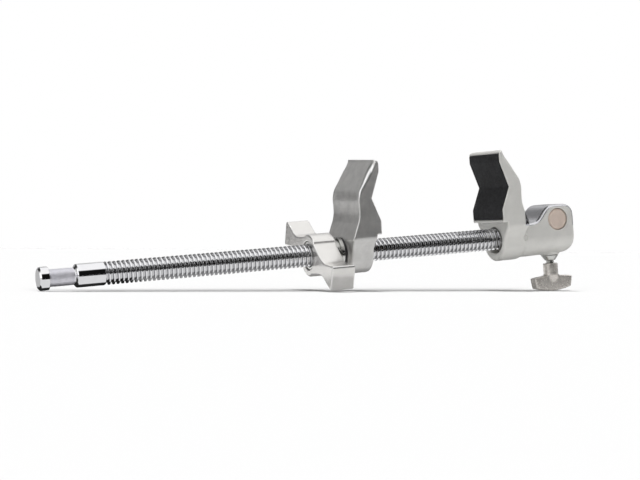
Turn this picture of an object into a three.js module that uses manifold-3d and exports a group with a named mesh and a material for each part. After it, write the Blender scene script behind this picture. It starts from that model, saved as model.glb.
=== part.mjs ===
// End-jaw vise clamp on a 5/8 inch Acme rod, as an assembly of its separate pieces.
// Millimetres. It is drawn along its rod: X runs from the spigot's end face to the fixed
// jaw, Z is the way that the jaws stand, and the rod's axis is the line Y = Z = 0.
// The last group tips the clamp so that it lies on Z = 0 as it does on a table.
import * as THREE from 'three';
import { mergeVertices } from 'three/addons/utils/BufferGeometryUtils.js';
import Module from 'manifold-3d';

const wasm = await Module();
wasm.setup();

// General fits
const clearance = 0.3;
const overrun = 3;
const roundSides = 32;
const smallSides = 20;
const curveSteps = 6;
const undersideSteps = 10;
const weldDistance = 1e-4;
const edgeBreak = 0.5;

// Threaded rod with its spigot
const threadDiameter = 15.875;
const threadPitch = 3.175;
const threadDepth = 1.6;
const threadCrest = 1.0;
const threadRoot = 1.3;
const threadSteps = 8;
const headLength = 6.8;
const headChamfer = 1.2;
const neckDiameter = 11.8;
const neckLength = 17.4;
const coneLength = 2.3;
const spigotLength = 45.7;
const tenonDiameter = 14.6;
const tenonLength = 25;
const lockPinDiameter = 4;
const lockPinInset = 0.8;

// Jaws, both of one pattern that is mirrored
const jawWidth = 48;
const jawTop = 65;
const jawDepth = 22;
const jawFoot = 9.6;
const jawBevel = 1;
const noseRadius = 2.2;
const veeDepth = 6.5;
const veeHeight = 38;
const lowerLand = 21.8;
const upperLand = 56.5;
const lipBottom = 12.4;
const flankDepth = 20;
const jawOpening = 96.6;
const fixedLipX = 337.6;
const movingJawLean = THREE.MathUtils.degToRad(2.5);
// The back of a jaw, as shares of its depth and of its height
const jawBackShares = [
  [0.17, 0.975],
  [0.385, 0.866],
  [0.555, 0.76],
  [0.7, 0.675],
  [0.752, 0.58],
  [0.745, 0.49],
  [0.75, 0.41],
  [0.8, 0.335],
  [0.88, 0.265],
  [0.965, 0.195],
];

// Rubber pads
const padThickness = 2;
const padProud = 0.3;
const padBottom = 14.6;
const padTop = 62.2;
const padSideLip = 1;

// Fixed casting behind its jaw
const bossSetback = 3.6;
const bossFrontRadius = 15.7;
const bossRearRadius = 14.4;
const blockWidth = 32;
const blockTop = 22.4;
const blockEnd = 63.2;
const blockCorner = 9.2;
const valleyHeight = 10.2;
const valleyEnd = 28.2;
const crownStart = 46.5;
const counterboreDiameter = 21;
const counterboreDepth = 5.5;
const lockPinSetback = 21.7;

// Receiver across the block, and the pin in it
const receiverSetback = 49.4;
const receiverHeight = 11.5;
const receiverPinDiameter = 15.875;
const receiverPinChamfer = 1.4;

// Lock screw under the receiver, with its bush, shoe and T-handle
const lockBossDiameter = 13.2;
const lockBossDrop = 15;
const bushDiameter = 10.4;
const bushTopDrop = 7;
const bushNoseLength = 3.8;
const bushNoseDiameter = 7.8;
const screwDiameter = 6;
const nippleDiameter = 3;
const nippleLength = 1.4;
const shoeDiameter = 7;
const shoeThickness = 3.2;
const handleTopDrop = 21.3;
const handleNeckDiameter = 10.8;
const handleBarTopDrop = 31.6;
const handleBarTopRise = 1.2;
const handleDrop = 41.7;
const handleEndDrop = 39.4;
const handleLength = 32;
const handleThickness = 8;
const handleEndLean = 1.3;
const handleBevel = 1.2;
const handleSocketDepth = 9.5;
const handlePinDiameter = 2.2;
const handlePinDrop = 25.6;

// Moving casting behind its jaw
const movingBossDiameter = 30;
const movingBossSetback = 3.4;
const movingBossLength = 18.4;
const movingNoseLength = 2.8;
const movingNoseDiameter = 23.4;
const movingWeb = 7;
const movingSocketDiameter = 26;
const guideBushLength = 5.4;

// Wing nut and what holds it to the moving jaw
const nutLength = 17.2;
const nutSpan = 88;
const nutTipHeight = 18.8;
const nutWaist = 10.4;
const nutWaistShare = 0.568;
const nutHubDiameter = 29.6;
const nutScoopShare = 0.75;
const nutScoopRise = 1.2;
const nutBevel = 1;
const sleeveDiameter = 19.8;
const sleeveCollarDiameter = 20.8;
const sleeveCollarLength = 3.2;
const sleeveCollarGap = 0.9;
const sleeveInset = 0.8;
const sleeveTail = 1.7;
const thrustWasherDiameter = 23;
const thrustWasherThickness = 2.4;
const frictionWasherDiameter = 22;
const frictionWasherThickness = 1.2;
const retainingWasherThickness = 1.5;
const snapRingThickness = 1.4;
const snapRingDepth = 0.7;
const snapRingGap = 4;
const snapRingRoom = 0.6;
const grubScrewDiameter = 4;
const grubScrewInset = 0.5;
const hubArcShares = [[0.72, 0.7], [0.4, 0.93]];
const outlineSteps = 26;

// Sizes that follow from those
const rodRadius = threadDiameter / 2;
const rodBore = threadDiameter + 2 * clearance;
const movingLipX = fixedLipX - jawOpening;
const bossFrontX = fixedLipX + bossSetback;
const blockEndX = fixedLipX + blockEnd;
const threadEndX = bossFrontX + counterboreDepth - clearance;
const rodEndX = threadEndX + tenonLength;
const receiverX = fixedLipX + receiverSetback;
const lockPinX = fixedLipX + lockPinSetback;
const receiverBore = receiverPinDiameter + 2 * clearance;
const movingBossFrontX = movingLipX - movingBossSetback;
const movingBossRearX = movingBossFrontX - movingBossLength;
const sleeveBore = sleeveDiameter + 2 * clearance;
const frictionWasherX = movingBossRearX - clearance - frictionWasherThickness;
const thrustWasherX = frictionWasherX - clearance - thrustWasherThickness;
const collarX = thrustWasherX - sleeveCollarGap - sleeveCollarLength;
const nutRightX = collarX - clearance;
const nutLeftX = nutRightX - nutLength;
const retainingWasherX = movingBossRearX + movingWeb + clearance;
const snapRingX = retainingWasherX + retainingWasherThickness + clearance;
const snapRingEndX = snapRingX + snapRingThickness;
const sleeveEndX = snapRingEndX + sleeveTail;

// Materials
function metal(name, colour, roughness) {
  return new THREE.MeshStandardMaterial({ name, color: colour, roughness, metalness: 1 });
}

function plain(name, colour, roughness) {
  return new THREE.MeshStandardMaterial({ name, color: colour, roughness, metalness: 0 });
}

const chrome = metal('chrome_plate', 0xd8d8da, 0.12);
const castAluminium = metal('cast_aluminium', 0xbebdb8, 0.45);
const tumbledAluminium = metal('tumbled_aluminium', 0x97989a, 0.4);
const satinAluminium = metal('satin_aluminium', 0xd6d4d1, 0.32);
const satinNickel = metal('satin_nickel', 0x9c9692, 0.35);
const brightSteel = metal('bright_steel', 0xc9c9c6, 0.25);
const springSteel = metal('spring_steel', 0x55565a, 0.4);
const bronze = metal('bearing_bronze', 0xb58a4a, 0.4);
const brass = metal('brass', 0xc8a45a, 0.35);
const rubber = plain('pad_rubber', 0x262628, 0.9);
const nylon = plain('nylon', 0x2f2f31, 0.6);

// Closed solids, and joins and cuts of them
function solid(geometry) {
  const bare = geometry.clone();
  bare.deleteAttribute('normal');
  bare.deleteAttribute('uv');
  const merged = mergeVertices(bare, weldDistance);
  const vertProperties = new Float32Array(merged.attributes.position.array);
  const triVerts = new Uint32Array(merged.index.array);
  return new wasm.Manifold(new wasm.Mesh({ numProp: 3, vertProperties, triVerts }));
}

function fromSolid(body) {
  const result = body.getMesh();
  const geometry = new THREE.BufferGeometry();
  const places = new THREE.BufferAttribute(new Float32Array(result.vertProperties), 3);
  geometry.setAttribute('position', places);
  geometry.setIndex(new THREE.BufferAttribute(new Uint32Array(result.triVerts), 1));
  const faceted = geometry.toNonIndexed();
  faceted.computeVertexNormals();
  return faceted;
}

function join(...geometries) {
  return fromSolid(geometries.map(solid).reduce((a, b) => a.add(b)));
}

function cut(geometry, ...cutters) {
  return fromSolid(cutters.map(solid).reduce((a, b) => a.subtract(b), solid(geometry)));
}

function overlap(a, b) {
  return fromSolid(solid(a).intersect(solid(b)));
}

// A turned piece about the X axis, from a closed list of [x, radius] points
function turned(points, sides = roundSides) {
  const profile = points.map(([x, radius]) => new THREE.Vector2(radius, x));
  profile.push(profile[0].clone());
  const geometry = new THREE.LatheGeometry(profile, sides);
  return geometry.rotateZ(-Math.PI / 2);
}

// A turned piece that reaches the axis at both ends, from its open list of points
function shaft(points, sides = roundSides) {
  const first = points[0][0];
  const last = points[points.length - 1][0];
  const profile = [[first, 0], ...points, [last, 0]];
  const turning = profile.map(([x, radius]) => new THREE.Vector2(radius, x));
  return new THREE.LatheGeometry(turning, sides).rotateZ(-Math.PI / 2);
}

function cylinder(fromX, toX, diameter, sides = roundSides) {
  return shaft([[fromX, diameter / 2], [toX, diameter / 2]], sides);
}

function ring(fromX, toX, bore, diameter, sides = roundSides) {
  const points = [[fromX, bore / 2], [fromX, diameter / 2], [toX, diameter / 2], [toX, bore / 2]];
  return turned(points, sides);
}

// A slab whose outline lies in the XZ plane, with its width across Y
function slab(shape, width, bevel = 0, steps = curveSteps) {
  const geometry = new THREE.ExtrudeGeometry(shape, {
    depth: width - 2 * bevel,
    bevelEnabled: bevel > 0,
    bevelThickness: bevel,
    bevelSize: bevel,
    bevelOffset: -bevel,
    bevelSegments: 1,
    curveSegments: steps,
  });
  geometry.translate(0, 0, -width / 2 + bevel);
  return geometry.rotateX(Math.PI / 2);
}

// A prism whose outline lies in the YZ plane, with its length along X
function prism(shape, length, bevel = 0, steps = curveSteps) {
  const geometry = slab(shape, length, bevel, steps);
  return geometry.rotateZ(Math.PI / 2);
}

function alongY(geometry) {
  return geometry.rotateZ(Math.PI / 2);
}

function alongZ(geometry) {
  return geometry.rotateY(-Math.PI / 2);
}

// The cutter for a hole across the piece, along Y, that a pin of this diameter goes through
function crossHole(reach, pinDiameter) {
  return alongY(cylinder(-reach, reach, pinDiameter + 2 * clearance, smallSides));
}

function piece(name, geometry, material) {
  const mesh = new THREE.Mesh(geometry, material);
  mesh.name = name;
  return mesh;
}

// A threaded bar with a flat disc at each end. Each turn's surface runs root, flank, crest,
// flank along the helix and meets the next turn's root, so the bar is one closed surface.
function threadedBar(fromX, toX) {
  const crest = rodRadius;
  const root = rodRadius - threadDepth;
  const flank = (threadPitch - threadCrest - threadRoot) / 2;
  const offsets = [0, flank, flank + threadCrest, threadPitch - threadRoot];
  const count = offsets.length;
  const bodyLength = toX - fromX - 2 * threadRoot - threadPitch;
  const rows = Math.floor((bodyLength / threadPitch) * threadSteps);
  const places = [];
  const addPlace = (step, x, radius) => {
    const angle = (step / threadSteps) * 2 * Math.PI;
    places.push(x, radius * Math.cos(angle), radius * Math.sin(angle));
    return places.length / 3 - 1;
  };
  const startOf = (step) => fromX + threadRoot + (step / threadSteps) * threadPitch;
  const grid = [];
  for (let step = 0; step <= rows + threadSteps; step += 1) {
    const top = step === 0 || step === rows ? root : crest;
    const used = step <= rows ? count : 1;
    const radii = [root, top, top, root];
    grid.push(offsets.slice(0, used).map((offset, k) => addPlace(step, startOf(step) + offset, radii[k])));
  }
  const at = (step, k) => (k < count ? grid[step][k] : grid[step + threadSteps][0]);
  const faces = [];
  const addFan = (...loop) => {
    for (let k = 1; k < loop.length - 1; k += 1) {
      faces.push(loop[0], loop[k], loop[k + 1]);
    }
  };
  for (let step = 0; step < rows; step += 1) {
    for (let k = 0; k < count; k += 1) {
      addFan(at(step, k), at(step + 1, k), at(step + 1, k + 1), at(step, k + 1));
    }
  }
  const turn = Array.from({ length: threadSteps }, (unused, step) => step);
  const firstDisc = turn.map((step) => addPlace(step, fromX, root));
  const lastDisc = turn.map((step) => addPlace(rows + step, toX, root));
  for (let step = 0; step < threadSteps - 1; step += 1) {
    addFan(firstDisc[step], firstDisc[step + 1], at(step + 1, 0), at(step, 0));
    const row = rows + step + 1;
    const nextDisc = lastDisc[(step + 2) % threadSteps];
    addFan(at(row, 0), at(row + 1, 0), nextDisc, lastDisc[step + 1]);
  }
  const seam = Array.from({ length: count + 1 }, (unused, k) => k);
  const last = threadSteps - 1;
  addFan(at(last, 0), firstDisc[last], firstDisc[0], ...seam.map((k) => at(0, k)));
  addFan(at(rows + 1, 0), lastDisc[1], lastDisc[0], ...seam.map((k) => at(rows, k)).reverse());
  addFan(...firstDisc.slice().reverse());
  addFan(...lastDisc);
  const geometry = new THREE.BufferGeometry();
  geometry.setAttribute('position', new THREE.Float32BufferAttribute(places, 3));
  geometry.setIndex(faces);
  return geometry;
}

function threadedRod() {
  const neckStart = headLength;
  const neckEnd = neckStart + neckLength;
  const collarStart = neckEnd + coneLength;
  const spigot = shaft([
    [0, rodRadius - headChamfer],
    [headChamfer, rodRadius],
    [headLength - edgeBreak, rodRadius],
    [headLength, rodRadius - edgeBreak],
    [neckStart, neckDiameter / 2],
    [neckEnd, neckDiameter / 2],
    [collarStart, rodRadius],
    [spigotLength - edgeBreak, rodRadius],
    [spigotLength, rodRadius - edgeBreak],
  ]);
  const thread = threadedBar(spigotLength - threadRoot, threadEndX + threadRoot);
  const tenon = cylinder(threadEndX, rodEndX, tenonDiameter);
  const body = join(spigot, thread, tenon);
  return cut(body, crossHole(threadDiameter, lockPinDiameter).translate(lockPinX, 0, 0));
}

// A jaw's side outline, down to the underside of its foot. Depth runs from the plane of its
// lips to its back, along X where back is 1 and against it where back is -1, and height runs
// up from the rod's axis.
function jawOutline(lipX, back, setback, drop) {
  const at = (depth, height) => [lipX + back * depth, height];
  const shape = new THREE.Shape();
  shape.moveTo(...at(setback, -drop));
  shape.lineTo(...at(setback, lipBottom));
  shape.lineTo(...at(0, lipBottom));
  shape.lineTo(...at(0, lowerLand));
  shape.lineTo(...at(veeDepth, veeHeight));
  shape.lineTo(...at(0, upperLand));
  shape.lineTo(...at(0, jawTop - noseRadius));
  shape.quadraticCurveTo(...at(0, jawTop), ...at(noseRadius, jawTop));
  for (const [depthShare, heightShare] of jawBackShares) {
    shape.lineTo(...at(depthShare * jawDepth, heightShare * jawTop));
  }
  shape.lineTo(...at(jawDepth, jawFoot));
  shape.lineTo(...at(flankDepth, 0));
  shape.lineTo(...at(flankDepth, -drop));
  shape.closePath();
  return shape;
}

// A jaw's end outline: its full width down to the foot, then flanks that run in to a round
// underside of this half width and drop
function footOutline(halfWidth, drop) {
  const side = jawWidth / 2 + overrun;
  const top = jawTop + overrun;
  const flankRise = jawFoot * (side - halfWidth) / (jawWidth / 2 - halfWidth);
  const shape = new THREE.Shape();
  shape.moveTo(-side, top);
  shape.lineTo(-side, flankRise);
  shape.absellipse(0, 0, halfWidth, drop, Math.PI, 2 * Math.PI);
  shape.lineTo(side, flankRise);
  shape.lineTo(side, top);
  shape.closePath();
  return shape;
}

// A jaw's plate and foot: what its side outline and its end outline have in common
function jawBody(lipX, back, setback, halfWidth, drop) {
  const side = slab(jawOutline(lipX, back, setback, drop + overrun), jawWidth, jawBevel);
  const end = prism(footOutline(halfWidth, drop), 2 * (jawDepth + overrun), 0, undersideSteps);
  return overlap(side, end.translate(lipX, 0, 0));
}

// The band that a pad fills, from a front depth to a rear depth
function padBand(lipX, back, front, rear, bottom, top) {
  const at = (depth, height) => [lipX + back * depth, height];
  const shape = new THREE.Shape();
  shape.moveTo(...at(front, bottom));
  shape.lineTo(...at(front, lowerLand));
  shape.lineTo(...at(veeDepth + front, veeHeight));
  shape.lineTo(...at(front, upperLand));
  shape.lineTo(...at(front, top));
  shape.lineTo(...at(rear, top));
  shape.lineTo(...at(rear, upperLand));
  shape.lineTo(...at(veeDepth + rear, veeHeight));
  shape.lineTo(...at(rear, lowerLand));
  shape.lineTo(...at(rear, bottom));
  shape.closePath();
  return shape;
}

function padPocket(lipX, back) {
  const rear = padThickness - padProud + clearance;
  const low = padBottom - clearance;
  const high = padTop + clearance;
  return slab(padBand(lipX, back, -overrun, rear, low, high), jawWidth - 2 * padSideLip);
}

function jawPad(lipX, back) {
  const shape = padBand(lipX, back, -padProud, padThickness - padProud, padBottom, padTop);
  return slab(shape, jawWidth - 2 * padSideLip - 2 * clearance);
}

function blockOutline() {
  const right = blockEndX;
  const shape = new THREE.Shape();
  shape.moveTo(bossFrontX, -bossFrontRadius);
  shape.lineTo(right - blockCorner, -bossRearRadius);
  shape.quadraticCurveTo(right, -bossRearRadius, right, blockCorner - bossRearRadius);
  shape.lineTo(right, blockTop - blockCorner);
  shape.quadraticCurveTo(right, blockTop, right - blockCorner, blockTop);
  const crownX = fixedLipX + crownStart;
  shape.lineTo(crownX, blockTop);
  const valleyX = fixedLipX + valleyEnd;
  const middleX = (crownX + valleyX) / 2;
  shape.bezierCurveTo(middleX, blockTop, middleX, valleyHeight, valleyX, valleyHeight);
  shape.lineTo(bossFrontX + bossRearRadius, valleyHeight);
  shape.lineTo(bossFrontX + bossRearRadius, bossFrontRadius);
  shape.lineTo(bossFrontX, bossFrontRadius);
  shape.closePath();
  return shape;
}

// The block's end outline: flat sides on a round underside
function blockSection() {
  const half = blockWidth / 2;
  const top = blockTop + overrun;
  const shape = new THREE.Shape();
  shape.moveTo(half, top);
  shape.lineTo(-half, top);
  shape.absellipse(0, 0, half, bossFrontRadius, Math.PI, 2 * Math.PI);
  shape.closePath();
  return shape;
}

function fixedJaw() {
  const plate = jawBody(fixedLipX, 1, bossSetback, blockWidth / 2, bossFrontRadius);
  const barLength = 2 * (blockEnd + overrun);
  const bar = prism(blockSection(), barLength, 0, undersideSteps).translate(fixedLipX, 0, 0);
  const block = overlap(bar, slab(blockOutline(), blockWidth + 2 * overrun));
  const lockBoss = alongZ(cylinder(-lockBossDrop, 0, lockBossDiameter)).translate(receiverX, 0, 0);
  const casting = join(plate, block, lockBoss);
  const counterboreEnd = bossFrontX + counterboreDepth;
  const counterbore = cylinder(bossFrontX - overrun, counterboreEnd, counterboreDiameter);
  const tenonBore = cylinder(bossFrontX, rodEndX + clearance, tenonDiameter + 2 * clearance);
  const receiver = alongY(cylinder(-blockWidth, blockWidth, receiverBore));
  receiver.translate(receiverX, 0, receiverHeight);
  const bushFit = bushDiameter + 2 * clearance;
  const shoeFit = shoeDiameter + 2 * clearance;
  const bushBore = cylinder(-lockBossDrop - overrun, clearance - bushTopDrop, bushFit);
  const shoeBore = cylinder(-lockBossDrop, receiverHeight, shoeFit, smallSides);
  alongZ(bushBore).translate(receiverX, 0, 0);
  alongZ(shoeBore).translate(receiverX, 0, 0);
  const pinHole = crossHole(jawWidth, lockPinDiameter).translate(lockPinX, 0, 0);
  const pocket = padPocket(fixedLipX, 1);
  return cut(casting, counterbore, tenonBore, receiver, bushBore, shoeBore, pinHole, pocket);
}

function movingJaw() {
  const radius = movingBossDiameter / 2;
  const plate = jawBody(movingLipX, -1, movingBossSetback, radius, radius);
  const boss = shaft([
    [movingBossRearX, movingNoseDiameter / 2],
    [movingBossRearX + movingNoseLength, radius],
    [movingBossFrontX - edgeBreak, radius],
    [movingBossFrontX, radius - edgeBreak],
  ]);
  const casting = join(plate, boss);
  const sleeveHole = cylinder(movingBossRearX - overrun, movingBossFrontX, sleeveBore);
  const socketX = movingBossRearX + movingWeb;
  const socket = cylinder(socketX, movingBossFrontX + overrun, movingSocketDiameter);
  return cut(casting, sleeveHole, socket, padPocket(movingLipX, -1));
}

function guideBush() {
  const end = movingBossFrontX;
  return ring(end - guideBushLength, end, rodBore, movingSocketDiameter - 2 * clearance);
}

// The wing nut's end outline: each half runs from one tip, over the hub, to the other tip
function wingOutline() {
  const tip = nutSpan / 2;
  const tipHalf = nutTipHeight / 2;
  const waistHalf = nutWaist / 2;
  const hub = nutHubDiameter / 2;
  const rising = [
    [tip, tipHalf],
    [nutScoopShare * tip, waistHalf + nutScoopRise],
    [nutWaistShare * tip, waistHalf],
    ...hubArcShares.map(([y, z]) => [y * hub, z * hub]),
  ];
  const falling = rising.map(([y, z]) => [-y, z]).reverse();
  const points = [...rising, [0, hub], ...falling].map(([y, z]) => new THREE.Vector2(y, z));
  const half = new THREE.SplineCurve(points).getPoints(outlineSteps);
  const otherHalf = half.map((point) => point.clone().negate());
  return new THREE.Shape([...half, ...otherHalf]);
}

function wingNut() {
  const body = prism(wingOutline(), nutLength, nutBevel).translate(nutLeftX + nutLength / 2, 0, 0);
  const sleeveHole = cylinder(nutLeftX - overrun, nutRightX + overrun, sleeveBore);
  const grubHole = alongZ(cylinder(-nutHubDiameter, 0, grubScrewDiameter + 2 * clearance, smallSides));
  grubHole.translate(nutLeftX + nutLength / 2, 0, 0);
  return cut(body, sleeveHole, grubHole);
}

function sleeveGrubScrew() {
  const outer = nutHubDiameter / 2 - grubScrewInset;
  const screw = alongZ(cylinder(-outer, -sleeveBore / 2, grubScrewDiameter, smallSides));
  return screw.translate(nutLeftX + nutLength / 2, 0, 0);
}

function nutSleeve() {
  const outer = sleeveDiameter / 2;
  const collar = sleeveCollarDiameter / 2;
  const groove = outer - snapRingDepth - clearance;
  const collarEnd = collarX + sleeveCollarLength;
  return turned([
    [nutLeftX + sleeveInset, rodBore / 2],
    [nutLeftX + sleeveInset, outer],
    [collarX, outer],
    [collarX, collar],
    [collarEnd, collar],
    [collarEnd, outer],
    [snapRingX - clearance, outer],
    [snapRingX - clearance, groove],
    [snapRingEndX + clearance, groove],
    [snapRingEndX + clearance, outer],
    [sleeveEndX, outer],
    [sleeveEndX, rodBore / 2],
  ]);
}

function snapRing() {
  const inner = sleeveDiameter - 2 * snapRingDepth;
  const outer = movingSocketDiameter - 2 * snapRingRoom;
  const whole = ring(snapRingX, snapRingEndX, inner, outer);
  const gap = new THREE.BoxGeometry(snapRingThickness + 2 * overrun, snapRingGap, outer);
  gap.translate((snapRingX + snapRingEndX) / 2, 0, -outer / 2);
  return cut(whole, gap);
}

function receiverPin() {
  const half = blockWidth / 2;
  const radius = receiverPinDiameter / 2;
  const pin = shaft([
    [-half, radius - receiverPinChamfer],
    [receiverPinChamfer - half, radius],
    [half - receiverPinChamfer, radius],
    [half, radius - receiverPinChamfer],
  ]);
  return alongY(pin).translate(receiverX, 0, receiverHeight);
}

function lockScrewBush() {
  const bore = screwDiameter / 2 + clearance;
  const top = -lockBossDrop - clearance;
  const bush = turned([
    [top - bushNoseLength, bore],
    [top - bushNoseLength, bushNoseDiameter / 2],
    [top, lockBossDiameter / 2],
    [top, bushDiameter / 2],
    [-bushTopDrop, bushDiameter / 2],
    [-bushTopDrop, bore],
  ]);
  return alongZ(bush).translate(receiverX, 0, 0);
}

function lockShoe() {
  const top = receiverHeight - receiverPinDiameter / 2 - clearance;
  const socket = nippleDiameter / 2 + clearance;
  const socketTop = top - shoeThickness + nippleLength + clearance;
  const shoe = shaft([[top - shoeThickness, shoeDiameter / 2], [top, shoeDiameter / 2]], smallSides);
  const hollow = cylinder(top - shoeThickness - overrun, socketTop, 2 * socket, smallSides);
  return alongZ(cut(shoe, hollow)).translate(receiverX, 0, 0);
}

function lockScrew() {
  const shoulder = receiverHeight - receiverPinDiameter / 2 - 2 * clearance - shoeThickness;
  const bottom = -handleTopDrop - handleSocketDepth + clearance;
  const screw = shaft([
    [bottom, screwDiameter / 2 - edgeBreak],
    [bottom + edgeBreak, screwDiameter / 2],
    [shoulder - edgeBreak, screwDiameter / 2],
    [shoulder, nippleDiameter / 2],
    [shoulder + nippleLength, nippleDiameter / 2],
  ], smallSides);
  const pinHole = crossHole(screwDiameter, handlePinDiameter).translate(0, 0, -handlePinDrop);
  return cut(alongZ(screw), pinHole).translate(receiverX, 0, 0);
}

function tHandle() {
  const half = handleLength / 2;
  const foot = half - handleEndLean;
  const bar = new THREE.Shape();
  bar.moveTo(-half, -handleBarTopDrop);
  bar.lineTo(-handleNeckDiameter / 2, handleBarTopRise - handleBarTopDrop);
  bar.lineTo(handleNeckDiameter / 2, handleBarTopRise - handleBarTopDrop);
  bar.lineTo(half, -handleBarTopDrop);
  bar.lineTo(foot, -handleEndDrop);
  bar.quadraticCurveTo(0, handleEndDrop - 2 * handleDrop, -foot, -handleEndDrop);
  bar.closePath();
  const wings = slab(bar, handleThickness, handleBevel);
  const neckTop = -handleTopDrop;
  const neck = alongZ(shaft([
    [-(handleBarTopDrop + handleDrop) / 2, handleNeckDiameter / 2],
    [neckTop - edgeBreak, handleNeckDiameter / 2],
    [neckTop, handleNeckDiameter / 2 - edgeBreak],
  ]));
  const screwFit = screwDiameter + 2 * clearance;
  const socket = alongZ(cylinder(neckTop - handleSocketDepth, neckTop + overrun, screwFit));
  const pinHole = crossHole(handleNeckDiameter, handlePinDiameter).translate(0, 0, -handlePinDrop);
  return cut(join(wings, neck), socket, pinHole).translate(receiverX, 0, 0);
}

function handlePin() {
  const half = handleNeckDiameter / 2 - edgeBreak;
  const pin = alongY(cylinder(-half, half, handlePinDiameter, smallSides));
  return pin.translate(receiverX, 0, -handlePinDrop);
}

function rodLockPin() {
  const half = blockWidth / 2 - lockPinInset;
  return alongY(cylinder(-half, half, lockPinDiameter, smallSides)).translate(lockPinX, 0, 0);
}

function washer(fromX, thickness, diameter) {
  return ring(fromX, fromX + thickness, sleeveBore, diameter);
}

// How the clamp lies: the spigot's rim and the T-handle carry it, then the nut's near wing
const tilt = Math.atan2(handleDrop - rodRadius, receiverX - headChamfer);
const nutDrop = rodRadius + (nutLeftX + nutBevel - headChamfer) * Math.tan(tilt);
const nutCornerReach = Math.hypot(nutSpan / 2, nutTipHeight / 2);
const nutCornerAngle = Math.atan2(nutTipHeight, nutSpan);
const nutRoll = Math.asin(nutDrop / nutCornerReach) - nutCornerAngle;

const rodGroup = new THREE.Group();
rodGroup.add(
  piece('threaded_rod', threadedRod(), chrome),
  piece('fixed_jaw', fixedJaw(), castAluminium),
  piece('fixed_jaw_pad', jawPad(fixedLipX, 1), rubber),
  piece('rod_lock_pin', rodLockPin(), springSteel),
  piece('receiver_pin', receiverPin(), satinNickel),
  piece('lock_screw_bush', lockScrewBush(), brightSteel),
  piece('lock_screw', lockScrew(), brightSteel),
  piece('lock_screw_shoe', lockShoe(), brass),
  piece('t_handle', tHandle(), satinNickel),
  piece('t_handle_pin', handlePin(), springSteel),
);

const jawGroup = new THREE.Group();
jawGroup.rotation.x = movingJawLean;
jawGroup.add(
  piece('moving_jaw', movingJaw(), tumbledAluminium),
  piece('moving_jaw_pad', jawPad(movingLipX, -1), rubber),
  piece('jaw_guide_bush', guideBush(), bronze),
);

const nutGroup = new THREE.Group();
nutGroup.rotation.x = nutRoll;
nutGroup.add(
  piece('wing_nut', wingNut(), satinAluminium),
  piece('nut_sleeve', nutSleeve(), brightSteel),
  piece('sleeve_grub_screw', sleeveGrubScrew(), springSteel),
  piece('nut_snap_ring', snapRing(), springSteel),
);

const thrustWasher = washer(thrustWasherX, thrustWasherThickness, thrustWasherDiameter);
const frictionWasher = washer(frictionWasherX, frictionWasherThickness, frictionWasherDiameter);
const socketFit = movingSocketDiameter - 2 * clearance;
const retainingWasher = washer(retainingWasherX, retainingWasherThickness, socketFit);

const washerGroup = new THREE.Group();
washerGroup.add(
  piece('thrust_washer', thrustWasher, brightSteel),
  piece('friction_washer', frictionWasher, nylon),
  piece('retaining_washer', retainingWasher, brightSteel),
);

const clamp = new THREE.Group();
clamp.add(rodGroup, jawGroup, nutGroup, washerGroup);
clamp.rotation.y = -tilt;
clamp.updateMatrixWorld(true);

// Stand it on Z = 0 with the origin under the middle of its box
const box = new THREE.Box3().setFromObject(clamp, true);
const middle = box.getCenter(new THREE.Vector3());
clamp.position.set(-middle.x, -middle.y, -box.min.z);

const part = new THREE.Group();
part.add(clamp);

export default part;
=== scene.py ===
import math

import bmesh
import bpy
import numpy as np
from mathutils import Matrix


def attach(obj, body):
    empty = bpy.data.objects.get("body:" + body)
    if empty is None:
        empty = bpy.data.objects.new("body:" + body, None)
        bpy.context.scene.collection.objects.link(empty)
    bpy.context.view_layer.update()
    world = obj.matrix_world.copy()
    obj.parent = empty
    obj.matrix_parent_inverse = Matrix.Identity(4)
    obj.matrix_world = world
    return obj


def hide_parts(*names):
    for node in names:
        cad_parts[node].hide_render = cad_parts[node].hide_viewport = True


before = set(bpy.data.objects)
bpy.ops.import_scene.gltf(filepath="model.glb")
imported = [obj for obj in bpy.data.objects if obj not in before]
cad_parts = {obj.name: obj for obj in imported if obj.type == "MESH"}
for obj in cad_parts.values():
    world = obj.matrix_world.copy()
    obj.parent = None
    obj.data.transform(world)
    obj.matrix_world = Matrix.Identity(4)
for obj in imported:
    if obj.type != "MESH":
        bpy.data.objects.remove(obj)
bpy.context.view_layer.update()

bl_info = {
    "name": "Vise Clamp on a Threaded Rod",
    "version": (1, 0, 0),
    "blender": (4, 5, 0),
    "location": "View3D > Sidebar > Clamp",
    "description": "Builds the finished surfaces of a long end-jaw vise clamp",
    "category": "Add Mesh",
}

MM = 0.001

# Where the rod lies: its own frame runs from the spigot's end face along X, with the jaws up along Z
SPIGOT_END = np.array([-0.20181655, 0.0, 0.00797525])
TILT = 0.0872905745
JAW_LEAN = math.radians(2.5)
NUT_ROLL = math.radians(21.4588)

# Small fits and roundings that nobody would change, in millimetres. BREAK is a broken edge, OVERRUN and PAST
# how far a cut runs past the metal, and PLAY how far a pin stays clear of its hole or of the skin
CLEARANCE = 0.3
BREAK = 0.3
EDGE = 0.5
FOOT_EDGE = 2.2
OVERRUN = 3.0
PAST = 9.0
FAR_BELOW = -40.0
FLOOR_GAP = 0.02
PLAY = 0.06

# The slope of a jaw's bent front, where its back's edges start to grow rounder, and over what height they do
FRONT_SLOPE, SHOULDER_START, SHOULDER_RISE = 0.88, 38.0, 24.0
# Where the flanks of a jaw's foot meet its round underside
FOOT_TURN = math.radians(24)
# A belted edge: how far in as a share of its radius, how sharply it ends, its least roundness and least depth
BELT_REACH, BELT_FADE, BELT_ROUNDNESS, BELT_DEPTH = 0.9, 5, 0.15, 4
# The fixed casting's ground skin: how deep under its outline it reaches, and its least height
GROUND_SKIN, GROUND_ABOVE = 1.7, 6
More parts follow.
